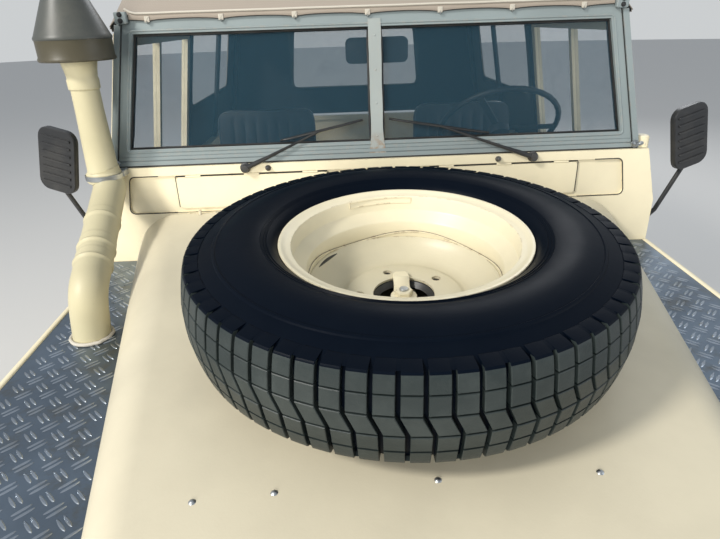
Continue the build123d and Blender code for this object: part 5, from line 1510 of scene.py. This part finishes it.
smooth.levels = smooth.render_levels = 1
roof = max(hood.data.polygons, key=lambda face: face.center.z)
if roof.normal.z < 0:
    hood.data.flip_normals()
# The inner layer takes the near-black canvas, as painted shade inside the hood.
lining = hood.modifiers.new("lining", "SOLIDIFY")
lining.thickness, lining.offset, lining.material_offset = 0.0022, -1.0, 1
print("hood cloth of", len(hood.data.polygons), "faces")

# %% [markdown]
# ## Window borders
# Each clear window is sewn into the hood behind a folded band, with a row of stitches along both its
# edges.

# %% Bands and stitches
STITCH, STITCH_PITCH, CORNER_FREE = 0.009, 0.016, 0.05
borders = Maker("window_borders", hood_canvas, piping_cloth)


def border(place, across, up):
    """A band round a window whose plane is given by a function of two lengths and a lift."""
    rings = []
    for grow, lift in ((0.018, -0.003), (0.018, 0.0006), (-0.006, 0.0006), (-0.006, -0.003)):
        a0, a1, u0, u1 = across[0] - grow, across[1] + grow, up[0] - grow, up[1] + grow
        start = ((a0 + a1) / 2, u0, 0)
        outline = [start, (a1, u0, 0), (a1, u1, 0), (a0, u1, 0), (a0, u0, 0), start]
        rings.append([place(p.x, p.y, lift) for p in rounded(outline, 0.045 + grow, 6)[:-1]])
    borders.use(0).skin(rings, around=True)
    for grow in (0.014, -0.002):
        a0, a1, u0, u1 = across[0] - grow, across[1] + grow, up[0] - grow, up[1] + grow
        for a, u, da, du in ((a0, u0, 1, 0), (a0, u1, 1, 0), (a0, u0, 0, 1), (a1, u0, 0, 1)):
            length = (a1 - a0) if da else (u1 - u0)
            for step in range(int((length - 2 * CORNER_FREE) / STITCH_PITCH)):
                start = CORNER_FREE + step * STITCH_PITCH
                ends = [place(a + da * s, u + du * s, 0.0010) for s in (start, start + STITCH)]
                borders.use(1).tube(ends, 0.0007, 5)


for side in SIDES:
    border(lambda y, z, lift: Vector((side * (hood_side(z) + lift), y, z)), WINDOW_Y, WINDOW_Z)
border(lambda x, z, lift: Vector((x, CURTAIN_Y - 0.001 + lift, z)), REAR_WINDOW_X, REAR_WINDOW_Z)
borders = borders.piece("body", "canvas", crease=60)
print("three window borders")

# %% [markdown]
# ## Valance, piping and hooks
# Where the hood meets the windscreen it ends in a narrow valance whose lower edge is cut in shallow
# scallops between seven sewn tabs. Each tab slips over a small hook. A pale piping cord covers the seam
# above.

# %% Valance
TABS, TAB_PITCH, FIRST_TAB = 7, 0.199, -0.615
PIPING_Z, SCALLOP_Z, TAB_Z = 1.7750, 1.7606, 1.7535
VALANCE_Y, VALANCE_HALF, VALANCE_COLUMNS = -0.4292, 0.664, 168


def scallop(x):
    """Height of the valance's lower edge."""
    share = ((x - FIRST_TAB) / TAB_PITCH) % 1.0
    return TAB_Z + (SCALLOP_Z - TAB_Z) * math.sqrt(4 * share * (1 - share))


valance = Maker("hood_valance", hood_canvas, seal_rubber)
rows, hem = [], []
for column in range(VALANCE_COLUMNS + 1):
    x = -VALANCE_HALF + 2 * VALANCE_HALF * column / VALANCE_COLUMNS
    low_z = scallop(x)
    ripple = 0.0012 * noise.noise(Vector((x * 14.0, 0.0, 1.7)))
    shape = [(0.0040, PIPING_Z + 0.002), (0.0010, PIPING_Z - 0.002), (ripple, (PIPING_Z + low_z) / 2)]
    shape += [(ripple * 0.5 - 0.0004, low_z + 0.001), (0.0008, low_z), (0.0030, low_z + 0.001)]
    shape += [(0.0040, PIPING_Z)]
    rows.append([(x, VALANCE_Y + back, z) for back, z in shape])
    hem.append((x, VALANCE_Y + 0.0004, low_z - 0.0002))
valance.skin(rows, around=True, ends=True)
valance.use(1).tube(hem, 0.0011, 6)
band = valance.piece("body", "canvas", crease=60)
print("valance of", VALANCE_COLUMNS, "columns")

# %% Piping, tabs and hooks
PIPING_HALF, PIPING_COLUMNS = 0.672, 96
piping = Maker("hood_piping", piping_cloth, zinc, seal_rubber)
cord_line = []
for column in range(PIPING_COLUMNS + 1):
    x = -PIPING_HALF + 2 * PIPING_HALF * column / PIPING_COLUMNS
    lift = 0.0010 * noise.noise(Vector((x * 9.0, 2.0, 0.0))) + 0.012 * max(0.0, (abs(x) - 0.640) / 0.032) ** 2
    cord_line.append((x, VALANCE_Y - 0.0006, PIPING_Z + lift))
piping.tube(cord_line, 0.0030, 10)
for tab in range(TABS):
    x = FIRST_TAB + TAB_PITCH * tab
    tab_y, stitch_y = (VALANCE_Y - 0.0030, VALANCE_Y - 0.0004), VALANCE_Y - 0.0034
    piping.use(0).bar(about(x, 0.0070), tab_y, (TAB_Z - 0.001, TAB_Z + 0.014), 0.0011)
    for lean in (-0.0045, 0.0045):
        piping.tube([(x - lean, stitch_y, TAB_Z + 0.001), (x + lean, stitch_y, TAB_Z + 0.012)], 0.0008, 6)
    hook = [(0.004, -0.004), (-0.004, -0.0045), (-0.0055, 0.002)]
    hook_line = rounded([(x, VALANCE_Y + dy, TAB_Z + dz) for dy, dz in hook], 0.002, 3)
    piping.use(1).tube(hook_line, 0.0013, 8)
piping.piece("body", "canvas")
print(TABS, "tabs along the valance")

# %% [markdown]
# ## Seats
# Three seats in black vinyl. Each pad starts as a cube cut into a fine grid: a power law rounds its
# edges, its broad face is crowned, its sides are drawn in between the corners, and channels are pressed
# into it where the vinyl is sewn down. Piping follows the edge of the broad face.

# %% Cushions and squabs
piping_vinyl = soft_black("seat_piping", (0.050, 0.053, 0.058), 0.35, 300.0, 0.0003, (0.09, 0.09, 0.095))
PAD_CELLS = 44
CHANNELS = [-1 + 2 * cell / PAD_CELLS for cell in (7, 12, 17, 22, 27, 32, 37)]


def pad_point(corner, size):
    """Where a point of the unit cube lies on a pad of a width, length and thickness."""
    reach = sum(abs(c) ** 9 for c in corner) ** (1 / 9)
    x, y, z = (c / reach for c in corner)
    free_x, free_y = max(1 - x * x, 0.0), max(1 - y * y, 0.0)
    if z > 0:
        z *= 0.72 + 0.28 * math.sqrt(free_x * free_y)
        nearest = min(abs(corner[0] - channel) for channel in CHANNELS) * size[0] / 2
        pressed = math.exp(-((nearest / 0.0055) ** 2)) * min(1.0, max(0.0, (0.90 - abs(y)) * 8))
        puffed = min(nearest / 0.020, 1.0) * 0.0025 * math.sqrt(free_x * free_y)
        z += (puffed - 0.0075 * pressed * max(0.0, z)) * 2 / size[2]
    x, y = x * (1 - 0.022 * free_y), y * (1 - 0.022 * free_x)
    return Vector((x * size[0] / 2, y * size[1] / 2, min(z, 1.0) * size[2] / 2))


def pad(name, place, size, stands_for=()):
    maker = Maker(name, vinyl, piping_vinyl)
    bmesh.ops.create_cube(maker.mesh, size=2.0)
    bmesh.ops.subdivide_edges(maker.mesh, edges=maker.mesh.edges[:], cuts=PAD_CELLS - 1, use_grid_fill=True)
    for vert in maker.mesh.verts:
        vert.co = place @ pad_point(tuple(vert.co), size)
    for face in maker.mesh.faces:
        face.smooth = True
    edge = []
    for cx, cy, dx, dy in ((-1, -1, 1, 0), (1, -1, 0, 1), (1, 1, -1, 0), (-1, 1, 0, -1)):
        for share in (step / 12 for step in range(24)):
            edge.append(place @ pad_point((cx + dx * share, cy + dy * share, 0.80), size))
    maker.use(1).tube(edge, 0.0034, 8, closed=True)
    maker.piece("body", "seat_vinyl", stands_for, 60)


UPRIGHT_PAD = Matrix(((1, 0, 0), (0, 0.0259, 0.9997), (0, -0.9997, 0.0259))).transposed().to_4x4()
CUSHION_Y, CUSHION_Z, CUSHION_LONG, CUSHION_THICK = 0.155, 0.9202, 0.408, 0.119
SQUAB_Y, SQUAB_FOOT, SQUAB_THICK = 0.4035, 0.8610, 0.054
SEATS = [
    # name, middle of the seat across the car, width, top of the squab
    ("right", -0.430, 0.430, 1.400),
    ("centre", 0.0, 0.320, 1.250),
    ("left", 0.430, 0.430, 1.400),
]
for name, x, wide, top_z in SEATS:
    stands_for = ["seats"] if name == "right" else []
    cushion_place = Matrix.Translation((x, CUSHION_Y, CUSHION_Z))
    pad(f"cushion_{name}", cushion_place, (wide, CUSHION_LONG, CUSHION_THICK), stands_for)
    squab_place = Matrix.Translation((x, SQUAB_Y, (SQUAB_FOOT - 0.0005 + top_z) / 2)) @ UPRIGHT_PAD
    pad(f"squab_{name}", squab_place, (wide, top_z - SQUAB_FOOT, SQUAB_THICK))
print(2 * len(SEATS), "pads")

# %% [markdown]
# ## Steering wheel and controls
# The wheel has a thin rim with shallow finger grips, three ribbed spokes and a domed hub. The panel in
# the middle of the dash carries two dials and a row of switches. Two floor levers, a hand brake, three
# pedals and a small mirror under the windscreen's top rail finish the cab.

# %% Steering wheel
SLANT, RIM_REACH = math.sqrt(0.5), 0.206
HELM = Matrix.Translation((0.455, -0.105, 1.378))
HELM = HELM @ Matrix(((1, 0, 0), (0, SLANT, -SLANT), (0, SLANT, SLANT))).transposed().to_4x4()
HELM_HUB = [
    # radius, height above the wheel's plane
    (0.0, 0.0040), (0.0180, 0.0036), (0.0260, 0.0010), (0.0300, -0.0030), (0.0370, -0.0060),
    (0.0380, -0.0120), (0.0360, -0.0340), (0.0240, -0.0370), (0.0110, -0.0380), (0.0110, -0.0990),
]
helm = Maker("helm", black_plastic, bright_steel).at(HELM)
grips = [0.0094 + 0.0006 * math.cos(math.radians(90 * step)) for step in range(144)]
helm.tube(circle(RIM_REACH, 144), grips, 14, closed=True)
helm.turn(HELM_HUB, 40)
for turn in (0, 120, 240):
    helm.at(HELM @ Matrix.Rotation(math.radians(turn), 4, "Z"))
    helm.bar((0.030, 0.199), about(0, 0.0110), (-0.0090, -0.0030), 0.0015)
    helm.tube([(0.034, 0, -0.0030), (0.120, 0, -0.0022), (0.199, 0, -0.0005)], [0.0055, 0.0045, 0.0055], 10)
helm.piece("steering_wheel", "black_plastic", ["steering_wheel"])
print("steering wheel")

# %% Dials, levers, pedals and the inner mirror
PANEL_Y, DIAL_Z, SWITCH_Z, TICKS = BULKHEAD_Y + 0.070 + 0.0843, 1.308, 1.274, 11
DIAL_RIM = [(0.0400, 0.0), (0.0400, 0.0040), (0.0370, 0.0060), (0.0345, 0.0045), (0.0345, 0.0010)]
GAITER = [(0.046, 0.0062), (0.044, 0.012), (0.034, 0.016), (0.030, 0.026), (0.022, 0.030), (0.016, 0.044)]
LEVERS = [
    # foot, bend and top of the lever, its radius, the knob's radius and finish
    ((0.0, -0.220, 0.800), (0.010, -0.200, 0.930), (0.035, -0.130, 1.070), 0.0070, 0.022, 0),
    ((-0.070, -0.170, 0.800), (-0.072, -0.165, 0.880), (-0.080, -0.120, 0.985), 0.0055, 0.015, 3),
    ((0.190, -0.056, 0.840), (0.190, -0.100, 0.880), (0.192, -0.215, 0.985), 0.0085, 0.012, 0),
]
PEDALS = [
    # X and half the width of the clutch, the brake and the throttle
    (0.345, 0.034), (0.440, 0.034), (0.555, 0.022),
]
MIRROR_STEM = [(0.008, -0.402, 1.738), (0.008, -0.392, 1.712), (0.008, -0.384, 1.672)]
controls = Maker("cab_controls", black_plastic, bright_steel, white_lens, red_lens, mirror_face)
for x in mirrored(0.075):
    dial = aim((x, PANEL_Y, DIAL_Z), BACK)
    controls.at(dial).use(1).turn(DIAL_RIM, 40)
    controls.use(0).turn([(0.0, 0.0010), (0.0345, 0.0010)], 40)
    for tick in range(TICKS):
        controls.at(dial @ Matrix.Rotation(math.radians(-30 + tick * 24), 4, "Z"))
        controls.use(2).bar((0.0255, 0.0305), about(0, 0.0007), (0.0008, 0.0016), 0.0002)
    controls.bar((-0.006, 0.024), about(0, 0.0008), (0.0018, 0.0024), 0.0002)
    controls.use(1).turn([(0.0, 0.0032), (0.0030, 0.0028), (0.0034, 0.0010)], 16)
controls.at(Matrix())
for x in (-0.120, -0.040, 0.0, 0.040, 0.120):
    controls.use(1).rivet((x, PANEL_Y, SWITCH_Z), BACK, 0.0075)
    controls.use(0).tube([(x, PANEL_Y, SWITCH_Z), (x, PANEL_Y + 0.012, SWITCH_Z - 0.002)], 0.0035, 10)
for foot, bend, head, thick, knob, finish in LEVERS:
    controls.at(Matrix()).use(1).tube(rounded([foot, bend, head], 0.05, 6), thick, 12)
    controls.at(aim(foot, UP)).use(0).turn([*GAITER, (thick, 0.050)], 28)
    ball = [(knob * y, -knob * 0.9 * x) for x, y, _ in circle(1, 10, arc=180)]
    controls.at(aim(head, Vector(head) - Vector(bend))).use(finish).turn(ball, 24)
for x, wide in PEDALS:
    stem = rounded([(x, -0.4930, 0.960), (x, -0.430, 0.900), (x, -0.405, 0.750)], 0.03, 5)
    controls.at(Matrix()).use(0).tube(stem, 0.0070, 10)
    controls.at(aim((x, -0.401, 0.745), (0, 0.85, 0.53)))
    controls.bar(about(0, wide), about(0, 0.028), (0.0, 0.008), 0.002, 0.006)
    for rib in range(-2, 3):
        controls.bar(about(0, wide - 0.005), about(rib * 0.010, 0.002), (0.0075, 0.0100), 0.0008)
controls.at(Matrix()).use(1).tube(rounded(MIRROR_STEM, 0.02, 5), 0.0045, 10)
controls.at(Matrix.Translation((0.0084, -0.3830, 1.6600)) @ Matrix.Rotation(math.radians(94), 4, "X"))
controls.use(0).bar(about(0, 0.0900), about(0, 0.0350), (-0.0070, 0.0060), 0.0025, 0.016)
controls.use(4).bar(about(0, 0.0850), about(0, 0.0300), (-0.0074, -0.0066), 0.0002, 0.013)
controls.piece("body", "black_plastic")
print("two dials,", len(LEVERS), "levers,", len(PEDALS), "pedals and the inner mirror")

# %% [markdown]
# ## Lamps
# Each headlamp has a bright rim, a silvered bowl with its bulb, and a domed lens. The small lamps are
# ringed domes: white and amber in front, red and amber at the rear over a round reflector.

# %% Head, side and rear lamps
HEADLAMP_X, HEADLAMP_Z = 0.620, 0.905
RIM_FRONT = [(0.0980, 0.0006), (0.0980, 0.0060), (0.0955, 0.0120), (0.0890, 0.0158), (0.0810, 0.0158)]
RIM_FRONT += [(0.0780, 0.0130), (0.0765, 0.0080)]
DOME = [(0.0770 * y, 0.0095 + 0.0245 * x) for x, y, _ in circle(1, 10, arc=90)]
BOWL = [(0.0750 * math.sqrt(i / 12), -0.0500 + 0.0580 * i / 12) for i in range(13)]
SHELL = [(0.0815, 0.0005), (0.0815, -0.0400), (0.0600, -0.0590), (0.0, -0.0598)]
BULB = [(0.0, -0.0080), (0.0070, -0.0110), (0.0085, -0.0200), (0.0050, -0.0320), (0.0050, -0.0500)]
SMALL = [
    # x, y, z, which way it faces, radius, depth, finish
    (0.765, FRONT_Y, 0.975, FORTH, 0.0320, 0.0260, 3),
    (0.765, FRONT_Y, 0.850, FORTH, 0.0320, 0.0260, 4),
    (0.770, REAR_Y, 1.060, BACK, 0.0340, 0.0280, 5),
    (0.770, REAR_Y, 0.960, BACK, 0.0340, 0.0280, 4),
    (0.770, REAR_Y, 0.860, BACK, 0.0340, 0.0160, 5),
]
LAMP_LOOKS = (bright_steel, lens_glass, mirror_face, white_lens, amber_lens, red_lens, black_plastic)
lamps = Maker("lamp_units", *LAMP_LOOKS)
for x in mirrored(HEADLAMP_X):
    lamps.at(aim((x, FRONT_Y, HEADLAMP_Z), FORTH)).use(0).turn(RIM_FRONT, 72)
    for screw in circle(0.0885, 3, 0.0155, 30):
        lamps.rivet(screw, UP, 0.0040)
    for finish, profile, steps in ((1, DOME, 72), (2, BOWL, 64), (6, SHELL, 48), (3, BULB, 20)):
        lamps.use(finish).turn(profile, steps)
for x, y, z, facing, radius, deep, finish in SMALL:
    inner = radius - 0.0035
    ring = [(radius, 0.0004), (radius, 0.0090), (radius - 0.0025, 0.0110), (radius - 0.0045, 0.0105)]
    cover = [(inner, 0.0080), (inner, deep * 0.55), (inner * 0.93, deep * 0.68), (inner * 0.90, deep * 0.70)]
    cover += [(inner * 0.70, deep * 0.86), (inner * 0.66, deep * 0.85), (inner * 0.35, deep * 0.96)]
    cover += [(0.0, deep)]
    for lamp_x in mirrored(x):
        lamps.at(aim((lamp_x, y, z), facing))
        lamps.use(6).turn(ring, 40)
        lamps.use(finish).turn(cover, 40)
        for screw_x in about(0, radius - 0.0018):
            lamps.use(0).rivet((screw_x, 0, 0.0105), UP, 0.0020)
lamps.piece("body", "lamp", ["lamps"])
print(2 + 2 * len(SMALL), "lamps")

# %% [markdown]
# ## Bolts, rivets, strips and catches
# The body is aluminium sheet riveted to steel strips. Zinc-coated angles guard the rear corners, rivets
# run along the flanges, and hooks under the hood's hem hold it to the tub. A thin painted skin covers
# the sills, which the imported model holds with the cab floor, and a dark radiator core closes the view
# through the grille. Moving panels carry their own trim, so it opens with them. Below, nuts close the
# spring clamps and pins.

# %% Body trim
TRIM_LOOKS = (body_paint, zinc, bright_steel, black_plastic)
CORNER_Z, CORNER_RIVETS, CORNER_PITCH = (0.640, 1.118), 8, 0.062
HINGE_HEIGHTS = (0.700, 1.070)
SKIN, HINGE_FACE = HALF + 0.0001, HALF + 0.0061  # X of the body's side and of the doors' hinge leaves
body_trim = Maker("body_trim", *TRIM_LOOKS)
for side in SIDES:
    out = (side, 0, 0)
    skin_x = side * SKIN
    body_trim.use(1).bar(span(side, HALF, HALF + 0.0018), (1.690, REAR_Y + 0.0015), CORNER_Z, 0.0006)
    body_trim.bar(span(side, 0.8065, HALF + 0.0018), (REAR_Y, REAR_Y + 0.0018), CORNER_Z, 0.0006)
    body_trim.use(2)
    for z in (0.665 + step * CORNER_PITCH for step in range(CORNER_RIVETS)):
        body_trim.rivet((side * (HALF + 0.0018), 1.715, z), out, 0.0034)
        body_trim.rivet((side * 0.822, REAR_Y + 0.0018, z), BACK, 0.0034)
    flange = [(0.480 + step * 0.082, 1.100) for step in range(15)]
    flange += [(y, 0.690) for y in (0.475, 0.535, 0.595, 1.580, 1.640)]
    for y, z in flange:
        body_trim.use(0).rivet((skin_x, y, z), out, 0.0036)
    body_trim.use(1)
    for y in (FIRST_HOOK + step * HOOK_PITCH for step in range(HOOKS)):
        body_trim.bar(span(side, SKIN, HALF + 0.0022), about(y, 0.012), (1.066, 1.090), 0.0008)
        hook = [(skin_x, y, 1.082), (skin_x + side * 0.013, y, 1.080), (skin_x + side * 0.015, y, 1.062)]
        body_trim.tube(rounded(hook, 0.006, 4), 0.0030, 8)
    body_trim.use(2)
    for y in (-1.610, -1.530, -0.760, -0.690, -0.620):
        body_trim.bolt((skin_x, y, 1.040), out, 0.0055)
    for x, z in ((0.350, 1.030), (0.350, 0.720), (0.500, 1.030), (0.500, 0.780), (0.720, 0.910)):
        body_trim.bolt((side * x, FRONT_Y - 0.0002, z), FORTH, 0.0055)
    for x, z in itertools.product((0.300, 0.400), (0.505, 0.565)):
        body_trim.bolt((side * x, BUMPER_Y - 0.0001, z), FORTH, 0.0105)
    for z, y, dz in itertools.product(HINGE_HEIGHTS, (HINGE_Y - 0.046, HINGE_Y - 0.022), (0.022, -0.022)):
        body_trim.bolt((side * HINGE_FACE, y, z + dz), out, 0.0052, False)
    for z in (0.790, 1.125):
        body_trim.use(1).bar(span(side, 0.480, 0.520), (REAR_Y, REAR_Y + 0.004), about(z, 0.018), 0.001)
        body_trim.use(2).rivet((side * 0.508, REAR_Y + 0.004, z), BACK, 0.0045)
        catch = ((0.003, 0), (0.020, 0), (0.020, 0.024))
        catch = [(side * 0.490, REAR_Y + dy, z - drop) for dy, drop in catch]
        body_trim.tube(rounded(catch, 0.008, 4), 0.0036, 8)
    body_trim.use(0).bar(span(side, SKIN, HALF + 0.0012), (-0.4195, 0.4355), (0.4705, 0.5555), 0.0004)
body_trim.piece("body", "body_paint")
print("body trim")

# %% Radiator core behind the grille
CORE_BACK_Y, CORE_HALF, CORE_Z = -1.6572, 0.2880, (0.6880, 1.0620)
TUBE_Z = (CORE_Z[0] + 0.0005, CORE_Z[1] - 0.0005)
TUBES, TUBE_PITCH, FINS, FIN_PITCH = 43, 0.0134, 46, 0.0080
core = Maker("radiator_core", chassis_paint, cast_metal)
core.bar(about(0, CORE_HALF + 0.001), (CORE_BACK_Y - 0.0002, CORE_BACK_Y + 0.0010), CORE_Z, 0.0003)
for tube in range(TUBES):
    x = (tube - (TUBES - 1) / 2) * TUBE_PITCH
    core.bar(about(x, 0.0021), (CORE_BACK_Y - 0.0034, CORE_BACK_Y), TUBE_Z, 0.0008)
core.use(1)
for fin in range(FINS):
    z = about(0.6950 + fin * FIN_PITCH, 0.0006)
    core.bar(about(0, CORE_HALF), (CORE_BACK_Y - 0.0020, CORE_BACK_Y), z, 0.0002)
core.piece("body", "chassis_black")
print(TUBES, "tubes and", FINS, "fins")

# %% Door and tailgate trim
CATCH_FACE, RAIL_FACE = HALF + 0.0051, HALF + 0.0025  # X of a door's catch and of the rail along its top
GATE_FACE_Y, GATE_RIB_Y, GATE_LEAF_Y = 1.7380, 1.7420, REAR_Y + 0.010  # the tailgate's sheet, ribs and hinges
for side, name in ((1, "left"), (-1, "right")):
    gate = Maker(f"door_trim_{name}", *TRIM_LOOKS)
    out = (side, 0, 0)
    gate.use(2)
    for z, y in itertools.product(HINGE_HEIGHTS, (HINGE_Y + 0.030, HINGE_Y + 0.072)):
        gate.bolt((side * HINGE_FACE, y, z), out, 0.0055, False)
    for y, z in itertools.product((0.313, 0.397), (1.043, 1.079)):
        gate.rivet((side * CATCH_FACE, y, z), out, 0.0030)
    gate.use(0)
    for step in range(11):
        gate.rivet((side * SKIN, -0.385 + step * 0.078, 0.592), out, 0.0032)
    gate.use(1).bar(span(side, HALF, RAIL_FACE), (-0.424, 0.428), (1.140, 1.160), 0.0008)
    gate.use(2)
    for step in range(9):
        gate.rivet((side * RAIL_FACE, -0.390 + step * 0.098, 1.150), out, 0.0030)
    gate.piece(f"door_{name}", "body_paint")
gate = Maker("tailgate_trim", *TRIM_LOOKS)
for x, step in itertools.product((-0.435, 0.435), range(6)):
    gate.rivet((x, GATE_FACE_Y + 0.0001, 0.730 + step * 0.080), BACK, 0.0034)
for x, z in itertools.product((-0.300, -0.150, 0.0, 0.150, 0.300), (0.735, 1.102)):
    gate.rivet((x, GATE_RIB_Y + 0.0001, z), BACK, 0.0034)
for x in (-0.410, -0.350, 0.350, 0.410):
    gate.use(2).bolt((x, GATE_LEAF_Y + 0.0001, 0.716), BACK, 0.0060, False)
gate.use(1).bar(about(0, 0.450), (GATE_FACE_Y, GATE_FACE_Y + 0.0020), (1.1350, 1.1600), 0.0008)
gate.piece("tailgate", "body_paint")
print("door and tailgate trim")

# %% Nuts of the springs and hitch
SPRING_X, SPRING_REACH, EYE_Z, LEAF_RISE = 0.350, 0.500, 0.450, 0.101
under = Maker("chassis_nuts", chassis_paint, zinc)
for axle_y, side in itertools.product((FRONT_AXLE_Y, REAR_AXLE_Y), SIDES):
    spring_x = side * SPRING_X
    for x, y in itertools.product(about(spring_x, 0.041), about(axle_y, 0.051)):
        under.bolt((x, y, 0.2970), (0, 0, -1), 0.0110)
    for y, face in itertools.product(about(axle_y, SPRING_REACH), SIDES):
        under.bolt((spring_x + face * 0.0501, y, EYE_Z), (face, 0, 0), 0.0120)
    for reach in (-0.260, 0.260):
        top_z = EYE_Z - LEAF_RISE + LEAF_RISE * (reach / SPRING_REACH) ** 2
        clip_z = (top_z - 0.028, top_z + 0.003)
        under.bar(about(spring_x, 0.034), about(axle_y + reach, 0.012), clip_z, 0.0015)
under.use(1)
for x, z in itertools.product(mirrored(0.060), (0.500, 0.580)):
    under.bolt((x, 1.7681, z), BACK, 0.0080)
under.piece("body", "chassis_black")
print("nuts and clips")

# %% [markdown]
# ## Close

# %% Finish
print("all pieces made")
